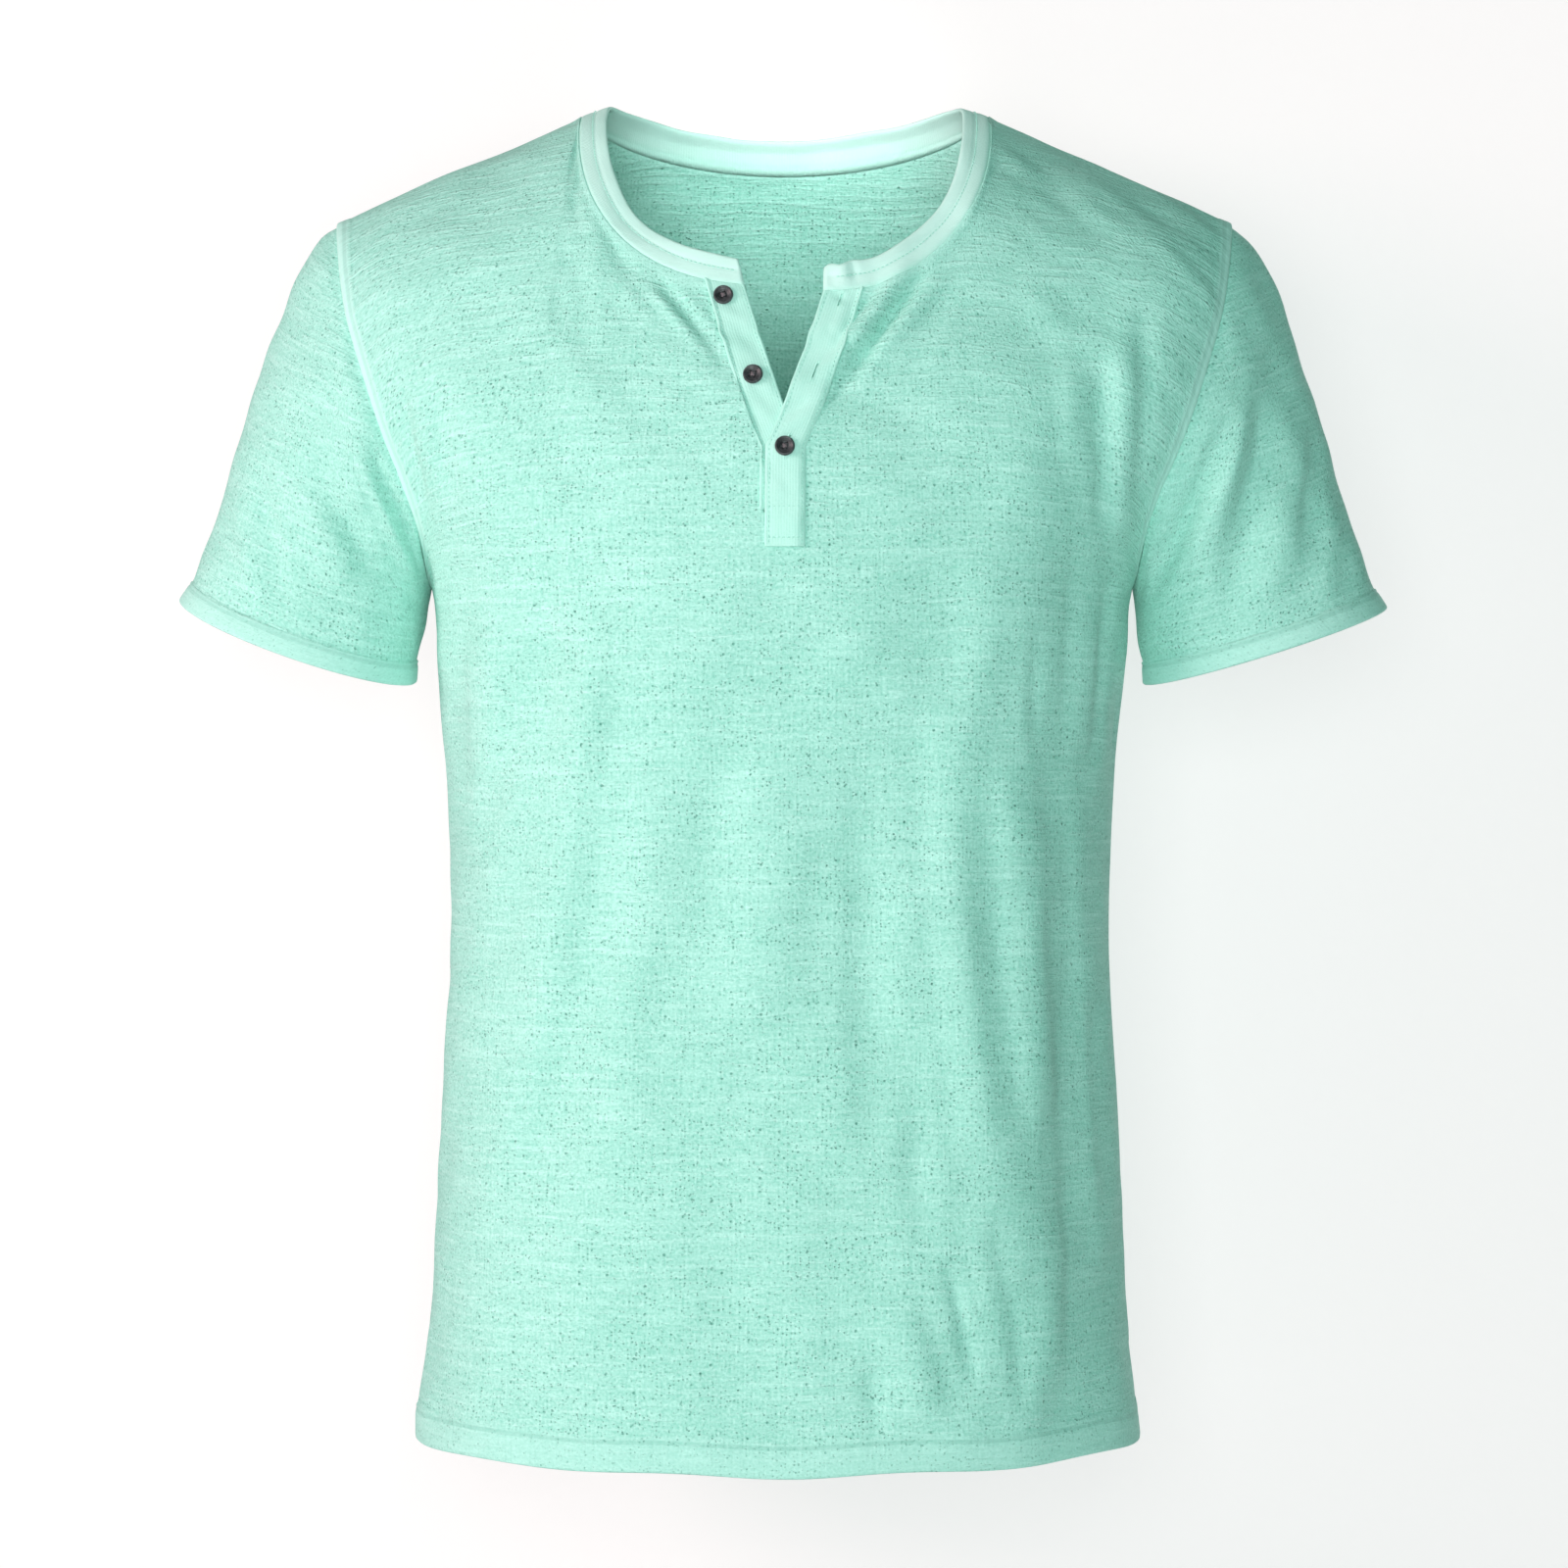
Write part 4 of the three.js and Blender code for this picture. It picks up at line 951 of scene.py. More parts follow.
@dataclass(frozen=True)
class RibFinish:
    """Fine smooth rib, paler than the jersey, with its ribs across the strip."""

    name: str = "fine_rib"
    base: Colour = (0.470, 0.850, 0.740, 1.0)
    pale: Colour = (0.640, 0.950, 0.860, 1.0)
    double: Colour = (0.800, 1.0, 0.955, 1.0)
    seed: float = 40.0
    rib_width: float = 0.0014
    doubled: float = 0.6
    rough: float = 0.86
    relief: float = 0.0005

    def make(self) -> bpy.types.Material:
        """Makes the material."""
        s = Shader(self.name)
        grain = s.noise(700, 800, self.seed, 2)
        cloud = s.noise(30, 50, self.seed + 3, 2)
        rib = s.wire("ShaderNodeSeparateXYZ", {}, {0: s.cloth_place(2 * math.pi / self.rib_width, 1, 0)}).sine()
        light = 0.45 + (cloud - 0.5) * 0.9 + (grain - 0.5) * 0.45 + rib * 0.03
        colour = s.blend(s.mark("pale") * self.doubled, s.blend(light, self.base, self.pale), self.double)
        pucker = s.noise(170, 170, self.seed + 7, 1) * s.mark("seam")
        relief = grain * 0.35 + rib * 0.06 + pucker * 1.0
        return s.finish(colour, self.rough, relief, self.relief, **FUZZ)


@dataclass(frozen=True)
class ThreadFinish:
    """Sewing thread."""

    name: str = "thread"
    base: Colour = (0.52, 0.90, 0.80, 1.0)
    deep: Colour = (0.40, 0.78, 0.67, 1.0)

    def make(self) -> bpy.types.Material:
        """Makes the material."""
        s = Shader(self.name)
        place = s.wire("ShaderNodeTexCoord", {}, {}, "Object")
        twist = s.wire("ShaderNodeTexNoise", {}, {"Vector": place, "Scale": 900.0, "Detail": 2.0})
        return s.finish(s.blend(twist, self.deep, self.base), 0.6, twist, 0.0002, Specular_IOR_Level=0.35)


@dataclass(frozen=True)
class ButtonFinish:
    """Dark horn-like moulding with lighter swirls and fine speckle."""

    name: str = "dark_button"
    base: Colour = (0.016, 0.016, 0.019, 1.0)
    light: Colour = (0.085, 0.078, 0.086, 1.0)

    def make(self) -> bpy.types.Material:
        """Makes the material."""
        s = Shader(self.name)
        place = s.wire("ShaderNodeTexCoord", {}, {}, "Object")
        swirl = s.wire("ShaderNodeTexNoise", {}, {"Vector": place, "Scale": 260.0, "Detail": 4.0, "Distortion": 1.5})
        fine = s.wire("ShaderNodeTexNoise", {}, {"Vector": place, "Scale": 1500.0, "Detail": 2.0})
        colour = s.blend(swirl.above(0.52, 0.16) * 0.6 + fine * 0.15, self.base, self.light)
        return s.finish(colour, 0.32 + fine * 0.2, fine, 0.0001, Coat_Weight=0.15, Coat_Roughness=0.2)


@dataclass
class Shirt:
    """The whole shirt, made piece by piece from the body's form."""

    form: BodyForm = field(default_factory=BodyForm)
    thick: float = 1.0
    low_steps: int = 136
    high_steps: int = 84
    side_steps: int = 78
    slit_steps: int = 8
    front_turn: float = 0.5
    back_turn: float = 0.4375
    strip: float = 6.0
    neck_strip: float = 5.5
    hem_line_in: float = 2.0
    arm_line_in: float = 1.2
    neck_line_in: float = 1.0
    neck_faint: float = 0.15
    pucker_wide: float = 4.0
    groove_wide: float = 0.9
    double_out: float = 0.95
    double_in: float = 0.4
    thread_out: float = 0.62
    edge_thin: float = 0.45

    def __post_init__(self) -> None:
        """Makes the finishes and the rows that the panels share."""
        self.jersey = JerseyFinish().make()
        self.rib = RibFinish().make()
        self.thread = ThreadFinish().make()
        self.button = ButtonFinish().make()
        self.button_thread = ThreadFinish("button_thread", (0.26, 0.21, 0.23, 1.0), (0.12, 0.09, 0.10, 1.0)).make()
        f = self.form
        hem = np.array([0, 0.5, 1.6, 4, 8, 12, 14.2, 15, 15.8, 17, 19, 22]) + f.hem_z
        self.low = np.concatenate([hem, np.linspace(f.hem_z + 25, f.armpit_z, self.low_steps)])
        steps = np.arange(1, self.high_steps + 1) / self.high_steps
        self.high = np.sin(math.pi / 2 * steps)
        self.armpit_row = len(self.low) - 1
        self.slit_row = self.armpit_row + round(f.slit_end_share * self.high_steps)

    def columns(self, turn_at: float) -> Array:
        """Column values of a half panel, close together at the centre, the neck point and the armhole."""
        near = np.array([0, 0.003, 0.008, 0.016])
        middle = np.linspace(0.026, 0.95, self.side_steps)
        middle[np.argmin(np.abs(middle - turn_at))] = turn_at
        edge = np.array([0.958, 0.965, 0.971, 0.976, 0.981, 0.986, 0.990, 0.994, 0.9975, 1.0])
        return np.concatenate([near, middle, edge])

    def panel(self, name: str, face: Face, folds: tuple[Fold, ...], seed: int) -> Cloth:
        """Makes the front or back panel.

        Args:
            name: the piece's name.
            face: front or back.
            folds: its folds.
            seed: picks its small unevenness.
        Returns:
            The cloth.
        """
        f = self.form
        turn_at = self.front_turn if face is Face.FRONT else self.back_turn
        across = self.columns(turn_at)
        x, z = f.half_panel(face, across, turn_at, self.low, self.high)
        if face is Face.FRONT:
            share = np.linspace(-1, 1, self.slit_steps + 1)[1:-1, None]
            xs = np.concatenate([-x[::-1], share * x[:1], x])
            zs = np.concatenate([z[::-1], np.repeat(z[:1], self.slit_steps - 1, 0), z])
            zs = zs - f.sag(xs, zs)
        else:
            xs, zs = np.concatenate([x[::-1], -x[1:]]), np.concatenate([z[::-1], z[1:]])
        grid = f.points(xs, zs, face)
        kept = np.ones((grid.shape[0] - 1, grid.shape[1] - 1), bool)
        if face is Face.FRONT:
            kept[len(across) - 1 : len(across) - 1 + self.slit_steps, self.slit_row :] = False
        cloth = Cloth.plain(name, self.folded(grid, kept, False, folds, face), self.thick, kept)
        u, v = cloth.lengths()
        edge = np.minimum(u, u[-1:] - u)
        calm = ease(edge / 14) * ease(v / 20) * ease((v[:, -1:] - v) / 14)
        ripple = Ripple(seed, 26, 95, 0.32).height(u, v) + Ripple(seed + 1, 60, 210, 0.65).height(u, v)
        grid = cloth.grid + cloth.normals * (ripple * calm)[..., None]
        hem_wave = Ripple(seed + 2, 45, 130, 0.55, 6).height(u, np.zeros_like(v)) * (1 - ease(v / 40))
        grid[..., 2] += hem_wave * ease(edge / 20)
        cloth = Cloth.plain(name, grid, self.thick, kept)
        cloth.level_row = self.armpit_row - 60
        self.mark_panel(cloth, across, turn_at, face)
        return cloth

    def folded(
        self, grid: Array, kept: Array, wraps: bool, folds: tuple[Fold, ...], face: Face, fade: Array | float = 1.0
    ) -> Array:
        """Moves a grid's points along its normals by the folds that face the viewer on that side.

        Args:
            grid: points by column and row.
            kept: which cells are cloth.
            wraps: whether the last column joins the first.
            folds: the folds.
            face: the side that they are seen from.
            fade: the share of them by point.
        Returns:
            The moved grid.
        """
        normals = grid_normals(grid, kept, wraps)
        facing = np.clip(normals[..., 1] * face.value * 1.6, 0, 1)
        return grid + normals * (height_of(folds, grid[..., 0], grid[..., 2]) * facing * fade)[..., None]

    def mark_panel(self, cloth: Cloth, across: Array, turn_at: float, face: Face) -> None:
        """Gives a panel its turned hem and the stitched-down edges at armholes and neckline.

        Args:
            cloth: the panel.
            across: the columns of a half panel.
            turn_at: where the neckline ends.
            face: front or back.
        """
        u, v = cloth.lengths()
        up, down = v, v[:, -1:] - v
        edge = np.minimum(u, u[-1:] - u)
        rows = np.arange(cloth.grid.shape[1])[None, :]
        at_arm = ease((rows - self.armpit_row + 3) / 6) * (1 - ease((edge - self.strip) / 1.6))
        half = across <= turn_at
        columns = cloth.grid.shape[0]
        neck = np.zeros(columns, bool)
        neck[: len(half)] = half[::-1]
        neck[columns - len(half) :] |= half
        if face is Face.FRONT:
            neck[len(half) - 1 : columns - len(half) + 1] = True
        at_neck = neck[:, None] * (1 - ease((down - self.neck_strip) / 1.5))
        hem = 1 - ease((up - self.form.hem_depth + 0.4) / 1.2)
        strip = np.maximum(at_arm, at_neck * 0.35)
        cloth.pale[:] = np.maximum(strip, hem * 0.3)
        hem_line = up - self.form.hem_depth + self.hem_line_in
        arm_line, neck_line = edge - self.strip + self.arm_line_in, down - self.neck_strip + self.neck_line_in
        lines = np.abs(np.stack([hem_line, arm_line, neck_line]))
        lines[1][:, : self.armpit_row] = FAR
        lines[2][~neck] = FAR
        faint = np.where(lines.argmin(0) == 2, self.neck_faint, 1.0)
        cloth.seam[:] = bell(lines.min(0), self.pucker_wide) * faint
        groove = bell(lines.min(0), self.groove_wide)
        cloth.out += 0.85 * strip + self.double_out * hem - 0.5 * groove * faint
        cloth.inn += self.double_in * hem
        self.soften(cloth, edge, np.minimum(up, down))

    def soften(self, cloth: Cloth, *edges: Array) -> None:
        """Thins a cloth towards its edges, so that they look turned and not cut."""
        near = np.minimum.reduce(edges)
        share = mix(self.edge_thin, 1.0, np.sqrt(1 - (1 - np.clip(near / 1.3, 0, 1)) ** 2))
        cloth.out *= share
        cloth.inn *= share


@dataclass(frozen=True)
class Cuff:
    """A sleeve's open end, an oval that leans out and down."""

    x: float
    y: float
    z: float
    long: float
    deep: float
    tilt: float
    front_drop: float
    back_lift: float = 2.0
    fold: float = 11.5
    flare: float = 3.0

    def point(self, turn: Array, face: Array, up: float) -> Array:
        """Points round the cuff.

        Args:
            turn: from 0 at the underarm to pi at the shoulder side.
            face: -1 on the front half, 1 on the back half.
            up: distance up from the edge.
        Returns:
            The points, for the sleeve on the +X side.
        """
        tilt = math.radians(self.tilt)
        flare = self.flare * (1 - up / self.fold)
        reach = -np.cos(turn) * (self.long - self.flare + flare)
        x = self.x + math.cos(tilt) * reach - math.sin(tilt) * up
        z = self.z + math.sin(tilt) * reach + math.cos(tilt) * up
        y = self.y + face * np.sin(turn) * (self.deep - self.flare + flare)
        return np.stack([x, y, z + np.sin(turn) * np.where(face < 0, -self.front_drop, self.back_lift)], -1)


CUFFS = {
    Side.LEFT: Cuff(251, -4, -279.5, 65.2, 48, 17.6, 5),
    Side.RIGHT: Cuff(251.6, -4, -277, 64, 50, 19.4, 9.5),
}


@dataclass
class Sleeve:
    """A set-in short sleeve, a tube from the armhole to the cuff."""

    side: Side
    shirt: Shirt
    front: Cloth
    back: Cloth
    rows: int = 64
    clearance: float = 1.7
    under: float = 1.15
    allowance: float = 4.2
    hem_wide: float = 11.0
    hem_line: float = 9.6

    def grid(self) -> Array:
        """The sleeve's points, by lines from the armhole to the cuff round it."""
        sign, cuff, k = self.side.value, CUFFS[self.side], self.shirt.armpit_row
        fc, bc = (-1, 0) if sign > 0 else (0, -1)
        flip_x = np.array([sign, 1, 1])

        def loop(front: Array, back: Array) -> Array:
            """One field read round the armhole, from the armpit up the front and down the back."""
            both = (front + back) / 2
            return np.vstack([both[:1], front[1:-1], both[-1:], back[-2:0:-1]]) * flip_x

        armhole = loop(self.front.grid[fc, k:], self.back.grid[bc, k:])
        normal = unit(loop(self.front.normals[fc, k:], self.back.normals[bc, k:]))
        inner_f, inner_b = self.front.grid[fc - 4 if fc else 4, k:], self.back.grid[bc - 4 if bc else 4, k:]
        away = unit(loop(inner_f, inner_b) - armhole)
        count = self.front.grid.shape[1] - k - 1
        turn = math.pi * np.concatenate([np.arange(count + 1), np.arange(count - 1, 0, -1)]) / count
        face = np.where(np.arange(len(armhole)) <= count, -1.0, 1.0)
        lift = (1 + np.cos(turn)) / 2
        tuck = ease((turn - 0.16) / 0.43)[:, None]
        outside = np.stack([mix(0.6, self.clearance, lift), 0 * lift, -0.2 * (1 - lift)], -1)
        start = armhole + mix(outside, -normal * self.under, tuck)
        allowance = [(start + tuck * away * t)[:, None] for t in (self.allowance, 1.2)]
        under = np.where(turn < math.pi / 2, np.cos(turn) ** 2, 0)[:, None]
        top = np.where(turn > math.pi / 2, np.cos(turn) ** 2, 0)[:, None]
        beside, flip = np.sin(turn)[:, None] ** 2, np.stack([0 * face + 1, -face, 0 * face + 1], -1)
        leave = under * (5, 0, -24) + top * (92, 0, -44) + beside * (np.array([62, -26, -50]) * flip)
        arrive = under * (9, 0, -32) + top * (76, 0, -184) + beside * (np.array([26, 6, -105]) * flip)
        u = np.concatenate([[0, 0.004, 0.012, 0.026], np.linspace(0.042, 1, self.rows)])[None, :, None]
        stop = cuff.point(turn, face, cuff.fold)
        start, stop, leave, arrive = (p[:, None] for p in (start, stop, leave, arrive))
        lines = (
            start * (2 * u**3 - 3 * u**2 + 1)
            + leave * (u**3 - 2 * u**2 + u)
            + stop * (3 * u**2 - 2 * u**3)
            + arrive * (u**3 - u**2)
        )
        ups = (10.9, 10.3, 9.6, 8, 5.5, 3, 1.4, 0.45, 0)
        edge = [cuff.point(turn, face, up)[:, None] for up in ups]
        grid = np.concatenate([*allowance, lines, *edge], 1) * flip_x
        return grid[::-1] if sign > 0 else grid

    def cloth(self) -> Cloth:
        """The sleeve with its folds, turned cuff and soft edges."""
        grid = self.grid()
        name = f"sleeve_{self.side.name.lower()}_jersey"
        kept = np.ones((grid.shape[0], grid.shape[1] - 1), bool)
        plain = Cloth.plain(name, grid, self.shirt.thick, kept, True)
        _, v = plain.lengths()
        fade = ease((v - 3) / 11) * ease((v[:, -1:] - v - 4) / 26)
        for folds, face in ((SLEEVE_FOLDS, Face.FRONT), (SLEEVE_BACK_FOLDS, Face.BACK)):
            grid = self.shirt.folded(grid, kept, True, folds, face, fade)
        ripple = Ripple(70 + self.side.value, 26, 110, 0.5).height(grid[..., 0] + grid[..., 1], grid[..., 2])
        grid = grid + plain.normals * (ripple * fade)[..., None]
        cloth = Cloth.plain(name, grid, self.shirt.thick, kept, True)
        _, v = cloth.lengths()
        down = v[:, -1:] - v
        hem = 1 - ease((down - self.hem_wide) / 1.2)
        line, shirt = down - self.hem_line, self.shirt
        cloth.pale[:] = hem * 0.5
        cloth.seam[:] = np.maximum(bell(line, shirt.pucker_wide), 0.8 * bell(v, 5))
        cloth.out += shirt.double_out * hem - 0.55 * bell(line, shirt.groove_wide)
        cloth.inn += shirt.double_in * hem
        self.shirt.soften(cloth, v, down)
        cloth.level_row = grid.shape[1] - 1
        return cloth


@dataclass
class Neckband:
    """A folded strip of rib that stands on the neckline seam and leans in over the neck."""

    shirt: Shirt
    front: Cloth
    back: Cloth
    wide: float = 14.2
    thick: float = 1.8
    end_half: float = 19.5
    end_slant: float = 5.0
    lean: tuple[float, float, float] = (78.0, 26.0, 74.0)
    fold_at: float = 7.7
    roll_in: float = 3.0
    soft_rounds: int = 24
    rises: tuple[float, ...] = (-4.6, -1.2, 0.0, 0.5, 1.6, 3.0, 4.8, 6.6, 7.7, 8.8, 10.4, 12.2, 13.4, 14.2)
    insets: tuple[float, ...] = (0.70, 0.98, 0.5, 0.16, 0.02, 0, 0, 0, 0, 0, 0, 0, 0, 0)
    halves: tuple[float, ...] = (0.16, 0.38, 0.5, 0.72, 0.88, 0.9, 0.9, 0.9, 0.9, 0.9, 0.9, 0.9, 0.9, 0.9)

    def seam(self) -> tuple[Array, Array, Array]:
        """The seam line, from the wearer's right end of the band round the back to the left end.

        Returns:
            Its points, the directions from them into the panels, and the panels' outward directions.
        """
        f, shirt = self.shirt.form, self.shirt
        across, back_across = shirt.columns(shirt.front_turn), shirt.columns(shirt.back_turn)
        turn = int(np.argmin(np.abs(across - shirt.front_turn)))
        back_turn = int(np.argmin(np.abs(back_across - shirt.back_turn)))
        n, m = len(across), len(back_across) - 1
        first = n - 1 + shirt.slit_steps
        start_x = f.slit_half(f.neck_point_z - f.front_neck_drop)

        def end(sign: int) -> list[Array]:
            """The fields of the stretch between the band's end and the panel's edge."""
            x = sign * np.linspace(self.end_half, start_x, 9)[:-1]
            z = f.neckline_z(x)
            p, low = f.points(x, z, Face.FRONT), f.points(x, z - 3, Face.FRONT)
            side = f.points(x + 1, z, Face.FRONT) - p
            return [p, unit(low - p), unit(np.cross(side, p - low))]

        top = slice(-1, None)
        fields = []
        for k, (ft, bk) in enumerate(zip(self.edge_fields(self.front), self.edge_fields(self.back))):
            right, left = ft[n - 1 - turn : n][::-1], ft[first : first + turn + 1]
            behind = bk[m - back_turn : m + back_turn + 1][::-1]
            joins = (right[top] + behind[:1]) / 2, (left[top] + behind[top]) / 2
            first_half = [end(-1)[k], right[:-1], joins[0]]
            fields.append(np.vstack([*first_half, behind[1:-1], joins[1], left[:-1][::-1], end(1)[k][::-1]]))
        p, away, normal = (self.smoothed(a) for a in fields)
        return p, unit(away), unit(normal)

    def edge_fields(self, cloth: Cloth) -> tuple[Array, Array, Array]:
        """Points, inward directions and normals along a panel's top edge."""
        g = cloth.grid
        return g[:, -1], unit(g[:, -10] - g[:, -1]), cloth.normals[:, -1]

    def cloth(self) -> Cloth:
        """The band with its allowance under the panels and its uneven ends."""
        f = self.shirt.form
        p, away, outward = self.seam()
        tangent = unit(np.gradient(p, axis=0))
        inward = np.stack([f.shift(f.neck_point_z) - p[:, 0], -(p[:, 1] + 10), 0 * p[:, 0]], -1)
        inward = inward - tangent * (inward * tangent).sum(-1, keepdims=True)
        inward[:, 2] = 0
        inward = unit(inward)
        sideways = np.clip(np.abs(p[:, 0] - f.shift(f.neck_point_z)) / f.neck_half, 0, 1) ** 3
        middle = np.where(p[:, 1] < f.seam_neck_y, self.lean[0], self.lean[2])
        lean = np.radians(mix(middle, self.lean[1], sideways))[:, None]
        up = inward * np.cos(lean) + np.array([0, 0, 1]) * np.sin(lean)
        up = unit(up - tangent * (up * tangent).sum(-1, keepdims=True))
        rises, insets = np.array(self.rises), np.array(self.insets)
        over = up[:, None] * np.maximum(rises, 0)[None, :, None]
        beneath = away[:, None] * np.maximum(-rises, 0)[None, :, None]
        grid = p[:, None] + over + beneath - outward[:, None] * insets[None, :, None]
        run = run_along(p)
        share = np.maximum(rises, 0)[None, :] / self.wide
        grid[..., 0] -= self.end_slant * (1 - ease(run / 12))[:, None] * share
        behind = np.clip(p[:, 1] / 60, 0, 1)[:, None]
        rolled = self.roll_in * behind * ease((rises - self.fold_at) / (self.wide - self.fold_at))
        grid = grid + inward[:, None] * rolled[..., None]
        for _ in range(self.soft_rounds):
            grid[1:-1] = mix(grid[1:-1], (grid[:-2] + grid[2:]) / 2, 0.6 * share[..., None] ** 2)
        cloth = Cloth.plain("neckband_rib", grid, self.thick)
        left = (run[-1] - run)[:, None]
        tab = 1.1 * bell(left - 17, 2.4) - 1.2 * bell(left - 10.5, 3.2)
        tab = (tab + 1.0 * bell(left - 3.5, 3)) * ease(share * 2)
        wave = Ripple(91, 22, 70, 0.35, 8).height(run[:, None] + 0 * share, rises[None, :] + 0 * run[:, None])
        shaped = grid + cloth.normals * (tab + wave * share)[..., None]
        dip = 1.6 * bell(left - 9.5, 3.0) - 1.0 * bell(left - 17.5, 2.6)
        shaped[..., 2] += Ripple(95, 28, 90, 0.4, 6).height(run, 0 * run)[:, None] * share - dip * share
        shaped[..., 2] -= 2.2 * (1 - ease(left / 3.2)) * share**2
        cloth = Cloth.plain("neckband_rib", shaped, self.thick)
        halves = np.array(self.halves)[None, :] + 0 * cloth.out
        fold_line = bell(rises[None, :] - self.fold_at, 0.9)
        cloth.out, cloth.inn = halves + 0.4 * np.sin(math.pi * share), halves - 0.7 * fold_line
        ends = np.minimum(run, run[-1] - run)[:, None] + 0 * halves
        rows = rises[None, :] + 0 * halves
        cloth.pale[:] = 0.55 + 0.45 * ease(rows / 4)
        cloth.seam[:] = bell(rows, 3)
        self.shirt.soften(cloth, (rows - rises[0]) * 1.1, (self.wide - rows) * 1.1, ends)
        return cloth

    def smoothed(self, p: Array) -> Array:
        """A field along the seam line without the small jogs where its stretches meet."""
        out = p.copy()
        out[1:-1] = (out[:-2] + 2 * out[1:-1] + out[2:]) / 4
        return out


# Height and length of each buttonhole
BUTTONHOLES = ((-109, 7), (-146.5, 9.5), (-184.5, 12))


@dataclass
class Leaf:
    """A placket leaf: a strip along the slit, sewn on over the panel's edge.

    Attributes:
        sign: -1 for the button leaf on the wearer's right, 1 for the buttonhole leaf.
        holes: height and length of each buttonhole.
        creases: small folds of this leaf alone.
    """

    name: str
    sign: int
    shirt: Shirt
    front: Cloth
    holes: tuple[tuple[float, float], ...] = ()
    creases: tuple[Fold, ...] = ()
    wide: float = 19.4
    over_edge: float = 1.4
    thick: float = 1.0
    crossing_z: float = -161.0
    end_z: float = -234.0
    top_gap: float = 0.1
    box_lines: tuple[float, ...] = (4.6, 20.0)
    slot_share: float = 0.483
    line_in: float = 2.0
    thread_out: float = 0.42
    shares: tuple[float, ...] = (
        0, 0.025, 0.06, 0.09, 0.13, 0.2, 0.32, 0.42, 0.465, 0.483,
        0.517, 0.535, 0.58, 0.68, 0.8, 0.87, 0.91, 0.94, 0.975, 1,
    )

    def on_front(self, x: Array, z: Array, rise: Array) -> Array:
        """Points of the folded front, moved out along its normals."""
        f, step = self.shirt.form, 1.0
        across = f.points(x + step, z, Face.FRONT) - f.points(x - step, z, Face.FRONT)
        along = f.points(x, z + step, Face.FRONT) - f.points(x, z - step, Face.FRONT)
        p = f.points(x, z, Face.FRONT)
        lift = rise + height_of(FRONT_FOLDS, p[..., 0], p[..., 2])
        return p + unit(np.cross(across, along)) * lift[..., None]

    def cloth(self) -> Cloth:
        """The leaf with its edges turned under, its stitch lines pressed in and its buttonholes cut."""
        f, shirt, front = self.shirt.form, self.shirt, self.front
        n = len(shirt.columns(shirt.front_turn))
        column = front.grid[n - 1 if self.sign < 0 else n - 1 + shirt.slit_steps, shirt.slit_row :]
        edge_x, rows = column[:, 0] - f.shift(column[:, 2]), column[:, 2].copy()
        rows[-1] -= self.top_gap
        if self.sign > 0:
            start = [self.end_z, self.end_z + 0.5, self.end_z + 1.5]
            below = np.concatenate([start, np.linspace(self.end_z + 3, rows[0] - 1.2, 20)])
            edge_x = np.concatenate([np.full(len(below), edge_x[0]), edge_x])
            rows = np.concatenate([below, rows])
        else:
            rows[0] += 0.5
        share = np.array(self.shares)
        outer = edge_x[None, :] + self.sign * self.over_edge
        inner = edge_x[None, :] - self.sign * (self.wide - 0.8)
        x = mix(outer, inner, share[:, None])
        climb = np.clip((rows - self.crossing_z) / (rows[-1] - self.crossing_z), 0, 1) ** 2
        z = rows[None, :] + (f.neckline_z(x[:, -1:]) - self.top_gap - rows[-1]) * climb[None, :]
        grid = self.on_front(x, z, self.rises(share[:, None], rows[None, :]))
        kept = np.ones((len(share) - 1, len(rows) - 1), bool)
        slot, middle = self.shares.index(self.slot_share), (rows[:-1] + rows[1:]) / 2
        for z0, long in self.holes:
            kept[slot, np.abs(middle - z0) < long / 2] = False
        if self.sign > 0:
            grid, kept = grid[::-1], kept[::-1]
        cloth = Cloth.plain(self.name, grid, self.thick, kept)
        u, v = cloth.lengths()
        side = np.minimum(u, u[-1:] - u)
        ends = np.minimum(v, v[:, -1:] - v)
        wave = Ripple(120 + self.sign, 12, 60, 0.34, 12).height(u, v) * ease(side / 4) * ease(ends / 5)
        wave = wave + height_of(self.creases, grid[..., 0], grid[..., 2])
        cloth = Cloth.plain(self.name, cloth.grid + cloth.normals * wave[..., None], self.thick, kept)
        groove = bell(side - self.line_in, 0.75)
        for at in self.box_lines if self.sign > 0 else ():
            groove = np.maximum(groove, bell(v - at, 0.75))
        cloth.seam[:] = groove * 0.6
        cloth.out += 0.2 - 0.38 * groove
        shirt.soften(cloth, side, ends)
        return cloth

    def rises(self, share: Array, z: Array) -> Array:
        """How far the leaf's middle lies off the front's, by share across from its sewn edge and height."""
        crossed = ease((self.crossing_z + 22 - z) / 20)
        sewn = 1 - ease(share / 0.16)
        if self.sign < 0:
            return 0.15 + 0.95 * sewn
        low = 1 - ease((z + 220) / 8)
        lifted = mix(mix(0.25, 2.3, crossed), 1.25, low * ease((share - 0.2) / 0.5))
        return mix(lifted, 1.15, sewn)

